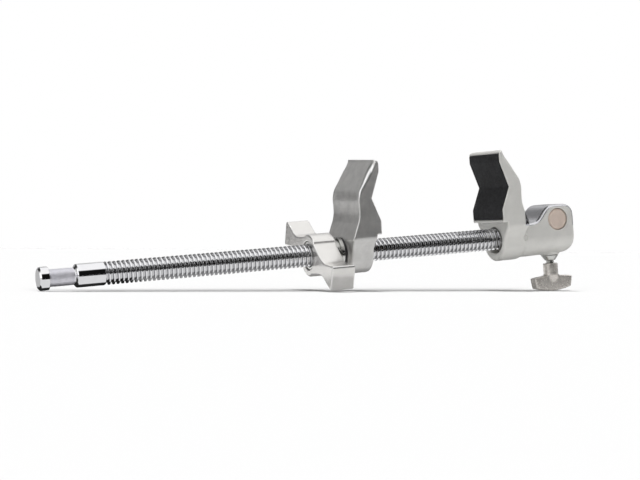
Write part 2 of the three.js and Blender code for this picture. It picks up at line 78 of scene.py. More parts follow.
# The rod's mouth in the fixed casting: its depth, half width, half height and how far it lies off the axis
MOUTH_DEPTH, MOUTH_WIDTH, MOUTH_HEIGHT, MOUTH_ASIDE, MOUTH_BELOW = 5.5, 11.6, 9.7, 1.8, 0.8
# The rod's lock pin: its radius, its distance from the lips and how far its ends lie under the skin
LOCK_PIN, LOCK_PIN_AT, LOCK_PIN_INSET = 2.0, 21.7, 0.35
# The wing nut's near face along the rod, and the height of the T-handle's cross pin
NUT_START, HANDLE_PIN_AT = 193.4, -25.6

# How finely surfaces are drawn. WELD is in metres, and SUPPORT and INNER are shares of a bend's reach
WELD, TINY = 1e-7, 1e-9
SUPPORT, INNER = 1.25, 1.3
ARC_STEPS = 5
SIDES, SMALL_SIDES = 96, 48


def length(name, millimetres, description):
    """A length setting of the panel, stored in metres."""
    return bpy.props.FloatProperty(
        name=name,
        description=description,
        default=millimetres * MM,
        precision=4,
        unit="LENGTH",
        subtype="DISTANCE",
    )


def linear(hexadecimal):
    """The linear colour of an sRGB hex value."""
    steps = np.array([int(hexadecimal[k : k + 2], 16) for k in (0, 2, 4)]) / 255
    bent = np.where(steps <= 0.04045, steps / 12.92, ((steps + 0.055) / 1.055) ** 2.4)
    return (*bent.tolist(), 1.0)


def colour(name, hexadecimal, description):
    """A colour setting of the panel."""
    return bpy.props.FloatVectorProperty(
        name=name,
        description=description,
        default=linear(hexadecimal),
        size=4,
        min=0,
        max=1,
        subtype="COLOR",
    )


class ClampRodSizes(bpy.types.PropertyGroup):
    """The threaded rod and its spigot."""

    diameter: length("Diameter", 15.875, "Across the thread's crests and the spigot")
    pitch: length("Pitch", 3.175, "From one turn of the thread to the next")
    depth: length("Thread depth", 1.6, "From crest to root")
    crest: length("Crest", 1.0, "Flat on top of the thread")
    root: length("Root", 1.3, "Flat between two turns")
    head: length("Head", 6.8, "Length of the spigot's head")
    chamfer: length("Head chamfer", 1.2, "On the head's outer rim")
    neck_diameter: length("Neck diameter", 11.8, "Across the knurled neck")
    neck: length("Neck", 17.4, "Length of the knurled neck")
    cone: length("Cone", 2.3, "From the neck up to the collar")
    spigot: length("Spigot", 45.7, "From the end face to the thread")
    tenon: length("Tenon", 25.0, "Plain end inside the fixed casting")
    tenon_diameter: length("Tenon diameter", 14.6, "Across the plain end")
    knurl: length("Knurl", 1.05, "From one knurl ridge to the next")
    knurl_depth: length("Knurl depth", 0.17, "Depth of the knurl")


class ClampJawSizes(bpy.types.PropertyGroup):
    """The two jaws, which share one pattern, and their pads."""

    width: length("Width", 48.0, "Across the jaw")
    top: length("Height", 65.0, "From the rod's axis to the jaw's top")
    depth: length("Depth", 22.0, "From the lips to the back, at the foot")
    foot: length("Foot", 9.6, "Height of the jaw's heel over the rod's axis")
    flank: length("Flank", 20.0, "Depth of the foot under the jaw")
    nose: length("Nose", 3.4, "Rounding of the top lip")
    vee_depth: length("Vee depth", 6.5, "Depth of the hollow between the lips")
    vee_height: length("Vee height", 38.0, "Height of the hollow's bottom")
    lower_land: length("Lower land", 21.8, "Where the hollow starts")
    upper_land: length("Upper land", 56.5, "Where the hollow ends")
    lip_bottom: length("Lower lip", 12.4, "Lowest point of the lower lip")
    edge: length("Edge", 0.9, "Rounding of the outer edges")
    shoulder: length("Shoulder", 5.2, "Rounding of the back's edges at the top")
    moving_setback: length("Moving setback", 3.4, "From the moving jaw's lips to its boss's front")
    moving_boss: length("Moving boss", 18.4, "Length of the moving jaw's boss")
    lip: length("Fixed lip", 337.6, "From the spigot's end face to the fixed jaw's lips")
    opening: length("Opening", 96.6, "Between the two jaws' lips")
    pad: length("Pad", 2.0, "Thickness of the rubber pads")
    proud: length("Pad proud", 0.3, "How far a pad stands over its lips")
    pad_bottom: length("Pad bottom", 14.6, "Lowest height of a pad")
    pad_top: length("Pad top", 62.2, "Highest height of a pad")
    side_lip: length("Side lip", 1.0, "Metal left beside a pad")


class ClampBlockSizes(bpy.types.PropertyGroup):
    """The rod boss and receiver block of the fixed casting."""

    setback: length("Setback", 3.6, "From the lips to the boss's front")
    front: length("Front radius", 15.7, "Of the boss at its front")
    rear: length("Rear radius", 14.4, "Of the boss at its rear")
    width: length("Width", 32.0, "Between the block's flat sides")
    top: length("Top", 22.4, "Height of the block over the rod's axis")
    end: length("End", 63.2, "From the lips to the block's end")
    corner: length("Corner", 9.2, "Rounding of the block's corners")
    valley: length("Valley", 10.2, "Height of the saddle between jaw and block")
    valley_end: length("Valley end", 28.2, "Where the saddle starts to rise")
    crown: length("Crown", 46.5, "Where the block's top starts")
    edge: length("Edge", 3.4, "Rounding along the block's outline")
    receiver: length("Receiver", 49.4, "From the lips to the receiver's axis")
    receiver_height: length("Receiver height", 11.5, "Of the receiver's axis")
    pin: length("Receiver pin", 15.875, "Across the receiver's pin")
    lock_boss: length("Lock boss", 13.2, "Across the boss of the lock screw")
    lock_boss_drop: length("Lock boss drop", 15.0, "Lowest point of that boss")


class ClampNutSizes(bpy.types.PropertyGroup):
    """The wing nut, its sleeve and the washers."""

    span: length("Span", 88.0, "From wing tip to wing tip")
    length: length("Length", 17.2, "Along the rod")
    tip: length("Tip", 18.8, "Height of the wing tips")
    waist: length("Waist", 10.4, "Height of the wings at their thinnest")
    hub: length("Hub", 29.6, "Across the hub")
    edge: length("Edge", 1.0, "Rounding of the edges")
    tip_edge: length("Tip edge", 2.2, "Rounding across the wing tips")
    sleeve: length("Sleeve", 19.8, "Across the sleeve")
    collar: length("Collar", 20.8, "Across the sleeve's collar")
    thrust: length("Thrust washer", 23.0, "Across the thrust washer")


class ClampHandleSizes(bpy.types.PropertyGroup):
    """The lock screw and its T-handle."""

    bar: length("Bar", 32.0, "Length of the handle's bar")
    thickness: length("Thickness", 8.0, "Of the bar")
    neck: length("Neck", 10.8, "Across the handle's neck")
    top: length("Top", 21.3, "From the rod's axis down to the neck's top")
    bar_top: length("Bar top", 31.6, "Down to the bar's upper ends")
    drop: length("Drop", 41.7, "Down to the bar's lowest point")
    end_drop: length("End drop", 39.4, "Down to the bar's lower ends")
    screw: length("Screw", 6.0, "Across the lock screw")
    edge: length("Edge", 1.2, "Rounding of the bar")


class ClampColours(bpy.types.PropertyGroup):
    """The colours of the finishes."""

    chrome: colour("Chrome", "F4F4F6", "Polished chrome plate on the rod")
    knurled: colour("Knurled neck", "E4E3EA", "Plated knurl on the spigot's neck")
    cast: colour("Cast aluminium", "D6D5D1", "Blasted casting of the fixed jaw")
    ground: colour("Ground aluminium", "DCDCE0", "Bare faces of the fixed jaw's saddle")
    belted: colour("Belted aluminium", "F0F0EF", "Bare edges of the moving jaw's back")
    tumbled: colour("Tumbled aluminium", "DAD9D7", "Tumbled casting of the moving jaw")
    satin: colour("Satin aluminium", "E8E6E3", "Bright satin wing nut")
    nickel: colour("Satin nickel", "E0DBD5", "Plated T-handle")
    pin: colour("Receiver pin", "D9C8BC", "Turned end of the receiver's pin")
    steel: colour("Bright steel", "DCDCD9", "Turned bright steel")
    dark: colour("Spring steel", "55565A", "Dark pins and rings")
    bronze: colour("Bronze", "B58A4A", "Bearing bronze")
    brass: colour("Brass", "C8A45A", "Brass shoe")
    rubber: colour("Rubber", "2B2B2D", "Pads")
    nylon: colour("Nylon", "2F2F31", "Friction washer")
    floor: colour("Floor", "E1E1E1", "Studio floor")


GROUPS = {
    "clamp_rod": ClampRodSizes,
    "clamp_jaw": ClampJawSizes,
    "clamp_block": ClampBlockSizes,
    "clamp_nut": ClampNutSizes,
    "clamp_handle": ClampHandleSizes,
    "clamp_colours": ClampColours,
}


class Sizes:
    """One group's lengths in millimetres."""

    def __init__(self, name):
        group = getattr(bpy.context.scene, name)
        for key in group.bl_rna.properties.keys():
            value = getattr(group, key)
            if isinstance(value, float):
                setattr(self, key, value / MM)


def tint(name):
    """One colour of the panel."""
    return tuple(getattr(bpy.context.scene.clamp_colours, name))


# Surfaces


def placed(points, lean=0.0):
    """Points of the rod's frame in the clamp's: turned by lean about the rod, tipped, shifted, in metres."""
    x, y, z = np.asarray(points, float).T
    y, z = y * math.cos(lean) - z * math.sin(lean), y * math.sin(lean) + z * math.cos(lean)
    x, z = x * math.cos(TILT) - z * math.sin(TILT), x * math.sin(TILT) + z * math.cos(TILT)
    return np.column_stack([x, y, z]) * MM + SPIGOT_END


def grid_faces(rows, columns, wrap_rows=False, wrap_columns=True):
    """Quads between neighbouring points of a grid, whose first point has index 0."""
    i = np.arange(rows if wrap_rows else rows - 1)[:, None]
    k = np.arange(columns if wrap_columns else columns - 1)[None, :]
    i2, k2 = (i + 1) % rows, (k + 1) % columns
    quads = [a * columns + b for a, b in ((i, k), (i2, k), (i2, k2), (i, k2))]
    return np.stack(np.broadcast_arrays(*quads), -1).reshape(-1, 4)


def curved(a, b, c, steps):
    """The curve (1-u)^2 a + 2u(1-u) b + u^2 c in that many steps."""
    u = np.linspace(0, 1, steps + 1)[:, None]
    return (1 - u) ** 2 * a + 2 * u * (1 - u) * b + u**2 * c


def rounded(corners, radius, steps=ARC_STEPS):
    """A closed outline whose corners are bent: each corner c becomes the curve (1-u)^2 a + 2u(1-u) c + u^2 b
    between two points a and b on its sides, as far from the corner as an arc of that radius needs, with
    one more point just outside a and b, which keeps the flats beside it flat."""
    at = np.array(corners, float)
    radius = np.broadcast_to(np.array(radius, float), len(at))
    to_last, to_next = np.roll(at, 1, 0) - at, np.roll(at, -1, 0) - at
    last_length = np.linalg.norm(to_last, axis=1)
    next_length = np.linalg.norm(to_next, axis=1)
    to_last, to_next = to_last / last_length[:, None], to_next / next_length[:, None]
    half = np.arccos(np.clip((to_last * to_next).sum(1), -0.9999, 0.9999)) / 2
    reach = np.minimum(radius / np.tan(half), 0.4 * np.minimum(last_length, next_length))
    a, b = at + to_last * reach[:, None], at + to_next * reach[:, None]
    before, after = at + to_last * reach[:, None] * SUPPORT, at + to_next * reach[:, None] * SUPPORT
    bend = curved(a[:, None], at[:, None], b[:, None], steps)
    return np.concatenate([before[:, None], bend, after[:, None]], 1).reshape(-1, 2)


def through(points, steps):
    """A smooth open curve through points: uniform cubic pieces whose slope at a point is half the step
    between its neighbours."""
    at = np.array(points, float)
    at = np.vstack([2 * at[0] - at[1], at, 2 * at[-1] - at[-2]])
    u = np.linspace(0, 1, steps, endpoint=False)[None, :, None]
    p, q, r, s = (at[k : len(at) - 3 + k, None] for k in range(4))
    square, cube = p - 2.5 * q + 2 * r - s / 2, q * 1.5 - r * 1.5 + (s - p) / 2
    curve = q + u * (r - p) / 2 + u**2 * square + u**3 * cube
    return np.vstack([curve.reshape(-1, 2), at[-2]])


def turned(profile, sides=SIDES):
    """A surface of revolution: the point (x, r) of the closed profile becomes (x, r cos a, r sin a)."""
    profile = np.asarray(profile, float)
    angle = np.arange(sides) / sides * 2 * np.pi
    x = np.repeat(profile[:, :1], sides, 1)
    points = np.stack([x, profile[:, 1:] * np.cos(angle), profile[:, 1:] * np.sin(angle)], -1)
    return points.reshape(-1, 3), grid_faces(len(profile), sides, wrap_rows=True)


def turned_bar(points, radius, sides=SIDES):
    """A turned piece with both ends on the axis, from its open list of (x, r)."""
    corners = [(points[0][0], 0), *points, (points[-1][0], 0)]
    bends = [0, *np.broadcast_to(radius, len(points)), 0]
    return turned(np.maximum(rounded(corners, bends), [-np.inf, 0]), sides)


def turned_ring(corners, radius, sides=SIDES):
    """A turned ring from the closed list of its section's corners."""
    return turned(rounded(corners, radius), sides)


def helix(start, end, rod_radius, pitch, depth, crest, root, steps, fade_in=0.0, fade_out=0.0):
    """A screw thread: point (i, k) is (start + i p / n + offset k, r_k cos a, r_k sin a) with a = 2 pi i / n,
    where one pitch p of the rounded thread profile gives the offsets and radii. The last point of a row joins
    the first of the row one turn on. The profile sinks to the root over the fade lengths, and a point on the
    axis closes each end. The last array is 0 on the crests and -1 at the roots."""
    flank = (pitch - crest - root) / 2
    softness = min(depth, crest) * 0.22
    corners = np.array([[0, 0], [flank, depth], [flank + crest, depth], [2 * flank + crest, 0], [pitch, 0]])
    outline = np.vstack([corners[-2] - [pitch, 0], corners[:-1]])
    # the outer points belong to the turns before and after
    profile = rounded(np.vstack([outline, corners[-1]]), softness, 3)[5:-5]
    profile = profile[(profile[:, 0] >= -TINY) & (profile[:, 0] < pitch - TINY)]
    rows, count = int((end - start - pitch) / pitch * steps), len(profile)
    i = np.arange(rows + 1)[:, None]
    x = start + i * pitch / steps + profile[None, :, 0]
    grow = np.ones_like(x)
    if fade_in:
        grow *= np.clip((x - start - pitch) / fade_in, 0, 1)
    if fade_out:
        grow *= np.clip((end - pitch - x) / fade_out, 0, 1)
    radius = rod_radius - depth + profile[None, :, 1] * grow
    angle = i / steps * 2 * np.pi + np.zeros_like(x)
    points = np.stack([x, radius * np.cos(angle), radius * np.sin(angle)], -1).reshape(-1, 3)
    whole = np.arange(rows)[:, None] * count + np.arange(count - 1)[None, :]
    inner = np.stack([whole, whole + count, whole + count + 1, whole + 1], -1).reshape(-1, 4)
    joint = np.arange(rows - steps) * count
    last = joint + count - 1
    seam = np.stack([last, last + count, joint + (steps + 1) * count, joint + steps * count], -1)
    first_loop = np.r_[np.arange(steps + 1) * count, np.arange(count - 1, 0, -1), 0]
    last_loop = np.r_[(rows - steps) * count + count - 1, rows * count, rows * count + np.arange(1, count),
                      np.arange(rows - 1, rows - steps - 1, -1) * count + count - 1]
    axis = len(points) + np.arange(2)
    points = np.vstack([points, [[start + pitch / 2, 0, 0], [end - pitch / 2, 0, 0]]])
    fans = [np.stack([np.full(len(loop) - 1, centre), loop[:-1], loop[1:]], -1)
            for centre, loop in zip(axis, (first_loop, last_loop))]
    bend = np.r_[((profile[None, :, 1] * grow / depth - 1) * np.ones_like(x)).ravel(), 0, 0]
    return points, [*inner.tolist(), *seam.tolist(), *np.vstack(fans).tolist()], bend


def knurled(start, end, radius, pitch, depth):
    """A diamond knurl: r(x, a) = radius - depth (1 - k), where k is
    0.75 (|2 fract(u) - 1| + |2 fract(v) - 1|) - 0.2, held between 0 and 1, and u and v count the ridges of the
    two crossing spirals. The ends sink to the groove's depth."""
    around = int(round(2 * math.pi * radius / pitch))
    steps, ends = 8, 14
    columns, rows = around * steps, int((end - start) / pitch * steps)
    t = np.linspace(0, 1, rows + 1)[:, None]
    a = np.arange(columns)[None, :] / columns
    along = (end - start) * t / pitch
    u, v = a * around + along, a * around - along
    ridge = (np.abs(2 * (u % 1) - 1) + np.abs(2 * (v % 1) - 1)) / 2
    fade = np.clip(np.minimum(t, 1 - t) * ends, 0, 1)
    r = radius - depth * (1 - np.clip(ridge * 1.5 - 0.2, 0, 1) * fade)
    angle = 2 * np.pi * a
    x = start + (end - start) * t + 0 * a
    points = np.stack([x, r * np.cos(angle), r * np.sin(angle)], -1).reshape(-1, 3)
    side = grid_faces(rows + 1, columns).tolist()
    return points, [*side, list(range(columns)), list(range(rows * columns, (rows + 1) * columns))]


def turning(at):
    """1 for a closed outline that runs counterclockwise, else -1."""
    return np.sign((at[:, 0] * np.roll(at[:, 1], -1) - np.roll(at[:, 0], -1) * at[:, 1]).sum())


def slab(outline, width, edge, steps=4):
    """A closed outline of the XZ plane carried across Y: each section is the outline moved in by
    edge (1 - sin b) at the distance edge (1 - cos b) from a side, so that both rims are round. One more
    section inside each flat side keeps that side flat. The outline is a band whose second half runs back
    along its first half, and strips between the two close the sides."""
    at = np.asarray(outline, float)
    ahead, behind = np.roll(at, -1, 0) - at, at - np.roll(at, 1, 0)
    side = np.stack([ahead[:, 1], -ahead[:, 0]], 1) / np.linalg.norm(ahead, axis=1)[:, None]
    side += np.stack([behind[:, 1], -behind[:, 0]], 1) / np.linalg.norm(behind, axis=1)[:, None]
    side /= np.maximum(np.linalg.norm(side, axis=1)[:, None], TINY)
    side *= turning(at)
    bend = np.linspace(0, np.pi / 2, steps + 1)
    inward = np.r_[edge * INNER, edge * (1 - np.sin(bend))]
    across = np.r_[width / 2, width / 2 - edge * (1 - np.cos(bend))]
    inward = np.r_[inward, inward[::-1]]
    across = np.r_[across, -across[::-1]]
    flat = at[None] - side[None] * inward[:, None, None]
    y = np.repeat(across[:, None], len(at), 1)
    points = np.stack([flat[..., 0], y, flat[..., 1]], -1).reshape(-1, 3)
    count = len(at)
    k = np.arange(count // 2 - 1)
    strip = np.stack([k, k + 1, count - 2 - k, count - 1 - k], -1)
    far_strip = strip[:, ::-1] + (len(inward) - 1) * count
    return points, np.vstack([grid_faces(len(inward), count), strip, far_strip])


# Castings, whose fillets no sweep gives: a signed distance in closed form, and its surface


def outline_distance(a, b, outline):
    """Signed distance to a closed outline of a plane, negative inside: the least distance to its sides,
    with the sign of the crossing count."""
    at = np.asarray(outline, float)
    least = np.full(np.broadcast_shapes(np.shape(a), np.shape(b)), np.inf)
    inside = np.zeros(least.shape, bool)
    for (a1, b1), (a2, b2) in zip(at, np.roll(at, -1, 0)):
        da, db = a2 - a1, b2 - b1
        ra, rb = a - a1, b - b1
        share = np.clip((ra * da + rb * db) / (da * da + db * db), 0, 1)
        least = np.minimum(least, (ra - share * da) ** 2 + (rb - share * db) ** 2)
        if db:
            inside ^= ((b1 > b) != (b2 > b)) & (a < da * (b - b1) / db + a1)
    return np.where(inside, -1, 1) * np.sqrt(least)


def inset(outline, radius):
    """A closed outline moved in by a radius with sharp corners: each corner goes by
    radius (m + n) / (1 + m.n), where m and n are the inward normals of its two sides."""
    at = np.asarray(outline, float)
    ahead = np.roll(at, -1, 0) - at
    normal = np.stack([-ahead[:, 1], ahead[:, 0]], 1) / np.linalg.norm(ahead, axis=1)[:, None]
    normal *= turning(at)
    last = np.roll(normal, 1, 0)
    return at + radius * (normal + last) / (1 + (normal * last).sum(1))[:, None]


def soft_outline(a, b, outline, radius):
    """Signed distance to a closed outline whose outer corners are rounded by a radius."""
    return outline_distance(a, b, inset(outline, radius)) - radius


def rounded_slab(flat, across, half, radius):
    """A plane distance carried along a line to half on each side, with rims of that radius."""
    a, b = flat + radius, np.abs(across) - half + radius
    return np.minimum(np.maximum(a, b), 0) + np.hypot(np.maximum(a, 0), np.maximum(b, 0)) - radius


def joined(a, b, fillet):
    """The nearer of two distances, with a fillet of about that size where they meet."""
    near = np.maximum(fillet - np.abs(a - b), 0) / fillet
    return np.minimum(a, b) - near * near * fillet / 4


def taken(a, b, fillet):
    """The distance a without b, with a rounded edge of about that size."""
    return -joined(-a, b, fillet)


def common(a, b, fillet):
    """What both distances hold, with a rounded edge of about that size."""
    return -joined(-a, -b, fillet)


def cast(distance, low, high, step):
    """The surface distance(x, y, z) = 0. Each cell of a regular grid that the surface crosses gets one point,
    the mean of the crossings on its edges, and each grid edge that is crossed gets the quad of the four
    cells round it. Two steps along the gradient then bring the points onto the surface. The last array is
    the surface's mean bend, positive on ridges and negative in hollows."""
    lines = [np.arange(a - 2 * step, b + 3 * step, step) for a, b in zip(low, high)]
    x, y, z = lines[0][:, None, None], lines[1][None, :, None], lines[2][None, None, :]
    shape = tuple(len(line) for line in lines)
    values = np.broadcast_to(distance(x, y, z), shape)
    cells, spots, turns = [], [], []
    for axis in range(3):
        here = [slice(None)] * 3
        there = [slice(None)] * 3
        here[axis], there[axis] = slice(None, -1), slice(1, None)
        a, b = values[tuple(here)], values[tuple(there)]
        crossed = (a < 0) != (b < 0)
        where = np.argwhere(crossed)
        a, b = a[crossed], b[crossed]
        spot = where.astype(float)
        spot[:, axis] += a / (a - b)
        others = [k for k in range(3) if k != axis]
        for first, second in ((0, 0), (1, 0), (1, 1), (0, 1)):
            cell = where.copy()
            cell[:, others[0]] -= first
            cell[:, others[1]] -= second
            cells.append(np.ravel_multi_index(cell.T, shape))
            spots.append(spot)
        turns.append((a < 0) != (axis == 1))
    keys, place = np.unique(np.concatenate(cells), return_inverse=True)
    spots = np.vstack(spots)
    number = np.bincount(place)
    points = np.stack([np.bincount(place, spots[:, k]) / number for k in range(3)], 1)
    points = points * step + [line[0] for line in lines]
    quads, start = [], 0
    for turn in turns:
        four = place[start : start + 4 * len(turn)].reshape(4, -1).T
        quads.append(np.where(turn[:, None], four, four[:, ::-1]))
        start += 4 * len(turn)
    quads = np.vstack(quads)
    small = step * 0.1
    shifts = np.vstack([np.eye(3), -np.eye(3)]) * small
    for _ in range(2):
        around = [distance(*(points + shift).T) for shift in shifts]
        slope = np.stack([(around[k] - around[k + 3]) / (2 * small) for k in range(3)], 1)
        value = distance(*points.T)
        points = points - slope * (value / np.maximum((slope**2).sum(1), 0.05))[:, None]
    wide = 0.45
    shifts = np.vstack([np.eye(3), -np.eye(3)]) * wide
    bend = (sum(distance(*(points + shift).T) for shift in shifts) - 6 * distance(*points.T)) / wide**2
    return points, quads, bend


def make_piece(name, shape, body, node, slot, material, lean=0.0, place=None):
    """One finished mesh on its body, in the finish of that name. It is welded, closed and turned outwards,
    with smooth faces. The arrays that follow its points and faces become its attributes bend and ground."""
    points, faces, *marks = shape
    points = placed(points if place is None else place(points), lean)
    mesh = bpy.data.meshes.new(name)
    mesh.from_pydata(points, [], faces if isinstance(faces, list) else faces.tolist())
    for mark, values in zip(("bend", "ground"), marks):
        mesh.attributes.new(mark, "FLOAT", "POINT").data.foreach_set("value", values.astype(np.float32))
    work = bmesh.new()
    work.from_mesh(mesh)
    bmesh.ops.remove_doubles(work, verts=work.verts, dist=WELD)
    bmesh.ops.dissolve_degenerate(work, edges=work.edges, dist=WELD)
    bmesh.ops.recalc_face_normals(work, faces=work.faces)
    work.to_mesh(mesh)
    work.free()
    mesh.shade_smooth()
    mesh.materials.append(finish(material))
    piece = bpy.data.objects.new(name, mesh)
    bpy.context.scene.collection.objects.link(piece)
    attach(piece, body)
    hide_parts(node)


def across(x, z):
    """Puts a piece that is drawn along X across the clamp, along Y, through the point (x, z)."""
    return lambda points: np.column_stack([x + points[:, 1], points[:, 0], z + points[:, 2]])


def upright(x):
    """Puts a piece that is drawn along X upright, along Z, at the distance x."""
    return lambda points: np.column_stack([x - points[:, 2], points[:, 1], points[:, 0]])


# Materials


def add(tree, kind, values=None, links=None, **settings):
    """Adds one node with its settings, its inputs' values and its inputs' links."""
    made = tree.nodes.new(kind)
    for key, value in settings.items():
        setattr(made, key, value)
    for key, value in (values or {}).items():
        made.inputs[key].default_value = value
    for key, source in (links or {}).items():
        tree.links.new(source, made.inputs[key])
    return made


def ramp(tree, source, *stops):
    """A colour ramp of (position, grey or colour) stops on a value."""
    made = add(tree, "ShaderNodeValToRGB", links={"Fac": source})
    elements = made.color_ramp.elements
    while len(elements) < len(stops):
        elements.new(1)
    for element, (position, value) in zip(elements, stops):
        element.position = position
        element.color = value if isinstance(value, tuple) else (value, value, value, 1)
    return made.outputs["Color"]


def spread_over(tree, value, start, end, low=0.0, high=1.0):
    """A value's range from start to end stretched to low to high, and held there outside it."""
    ends = {"From Min": start, "From Max": end, "To Min": low, "To Max": high}
    return add(tree, "ShaderNodeMapRange", ends, {"Value": value}).outputs[0]


def mixed(tree, factor, a, rgba):
    """Blends a colour link towards a fixed colour or another link."""
    made = add(tree, "ShaderNodeMix", links={"Factor": factor}, data_type="RGBA")
    first, second = (socket for socket in made.inputs if socket.type == "RGBA")
    tree.links.new(a, first)
    if isinstance(rgba, tuple):
        second.default_value = rgba
    else:
        tree.links.new(rgba, second)
    return next(socket for socket in made.outputs if socket.type == "RGBA")


def noise(tree, place, size_mm, detail, roughness=0.5):
    """Noise whose lumps are about that many millimetres apart."""
    values = {"Scale": 1 / (size_mm * MM), "Detail": detail, "Roughness": roughness}
    return add(tree, "ShaderNodeTexNoise", values, {"Vector": place}).outputs["Fac"]


def scaled(rgba, factor):
    """A colour made lighter or darker."""
    return (*[min(1.0, part * factor) for part in rgba[:3]], 1.0)


def new_material(name):
    """A new material, its node tree and its shader."""
    material = bpy.data.materials.new(name)
    material.use_nodes = True
    return material, material.node_tree, material.node_tree.nodes["Principled BSDF"]


def surface(name, hue, metallic, roughness, spread, patch_mm, contrast, grain_mm, grain_depth_mm,
            rim=0.0, hollow=0.45, ground=None):
    """A finish with two scales of real unevenness. Patches of patch_mm change its tone and roughness, and a
    grain of grain_mm is pressed into it. rim paints the ridges lighter, partly as tumbling, plating and
    handling brighten them and partly as a painted highlight, and paints the hollows darker by hollow as painted
    shade.
    ground is the colour and roughness of the faces that a belt has ground bare."""
    material, tree, shader = new_material(name)
    rgba = tint(hue)
    shader.inputs["Metallic"].default_value = metallic
    place = add(tree, "ShaderNodeTexCoord").outputs["Object"]
    patches = noise(tree, place, patch_mm, 4.0, 0.6)
    tone = ramp(tree, patches, (0.3, scaled(rgba, 1 - contrast)), (0.7, scaled(rgba, 1 + contrast / 2)))
    rough = spread_over(tree, patches, 0.3, 0.7, roughness - spread, roughness + spread)
    if ground:
        bare = add(tree, "ShaderNodeAttribute", attribute_name="ground").outputs["Fac"]
        tone = mixed(tree, bare, tone, tint(ground[0]))
        tree.links.new(spread_over(tree, bare, 0, 1, metallic), shader.inputs["Metallic"])
        worn = add(tree, "ShaderNodeMapRange", {"To Max": ground[1]}, {"Value": bare, "To Min": rough})
        rough = worn.outputs[0]
    # painted highlight and shade: ridges painted lighter, partly worn bright and partly a painted highlight;
    # hollows painted darker by hollow as painted shade
    if rim:
        bend = add(tree, "ShaderNodeAttribute", attribute_name="bend").outputs["Fac"]
        tone = mixed(tree, spread_over(tree, bend, *RIDGES, high=rim), tone, scaled(rgba, WORN_AND_HIGHLIGHTED))
        tone = mixed(tree, spread_over(tree, bend, *HOLLOWS, high=rim), tone, scaled(rgba, hollow))
    tree.links.new(tone, shader.inputs["Base Color"])
    tree.links.new(rough, shader.inputs["Roughness"])
    pressed = {"Strength": 1.0, "Distance": grain_depth_mm * MM}
    bump = add(tree, "ShaderNodeBump", pressed, {"Height": noise(tree, place, grain_mm, 3.0, 0.55)})
    tree.links.new(bump.outputs["Normal"], shader.inputs["Normal"])
    return material


def rubber(name):
    """Moulded rubber sheet with a coarse leathery grain of about a millimetre: the pits are painted near black
    as painted shade, while the grain's tops scatter a little light."""
    material, tree, shader = new_material(name)
    base = tint("rubber")
    shader.inputs["Specular IOR Level"].default_value = 0.35
    shader.inputs["Roughness"].default_value = 0.82
    place = add(tree, "ShaderNodeTexCoord").outputs["Object"]
    lumps = {"Scale": 1 / (1.1 * MM)}
    leather = add(tree, "ShaderNodeTexVoronoi", lumps, {"Vector": place}, feature="SMOOTH_F1")
    cells = leather.outputs["Distance"]
    dust = noise(tree, place, 4.0, 6.0, 0.7)
    tone = ramp(tree, dust, (0.3, scaled(base, 0.6)), (0.75, scaled(base, 1.7)))
    # painted shade: the grain's pits are painted darker
    tone = mixed(tree, spread_over(tree, cells, 0.2, 0.75, high=0.6), tone, scaled(base, 0.3))
    tree.links.new(tone, shader.inputs["Base Color"])
    deep = add(tree, "ShaderNodeMath", {1: -1.0}, {0: cells}, operation="MULTIPLY")
    coarse = add(tree, "ShaderNodeBump", {"Strength": 1.0, "Distance": 0.12 * MM}, {"Height": deep.outputs[0]})
    both = add(tree, "ShaderNodeBump", {"Strength": 0.8, "Distance": 0.05 * MM},
               {"Height": noise(tree, place, 0.5, 3.0), "Normal": coarse.outputs["Normal"]})
    tree.links.new(both.outputs["Normal"], shader.inputs["Normal"])
    return material


# How far a surface bends where its ridges start to be painted lighter, partly worn bright and partly a painted
# highlight, and its hollows darker as painted shade; and how bright the ridges get
RIDGES, HOLLOWS, WORN_AND_HIGHLIGHTED = (0.15, 1.1), (-0.12, -0.8), 1.3

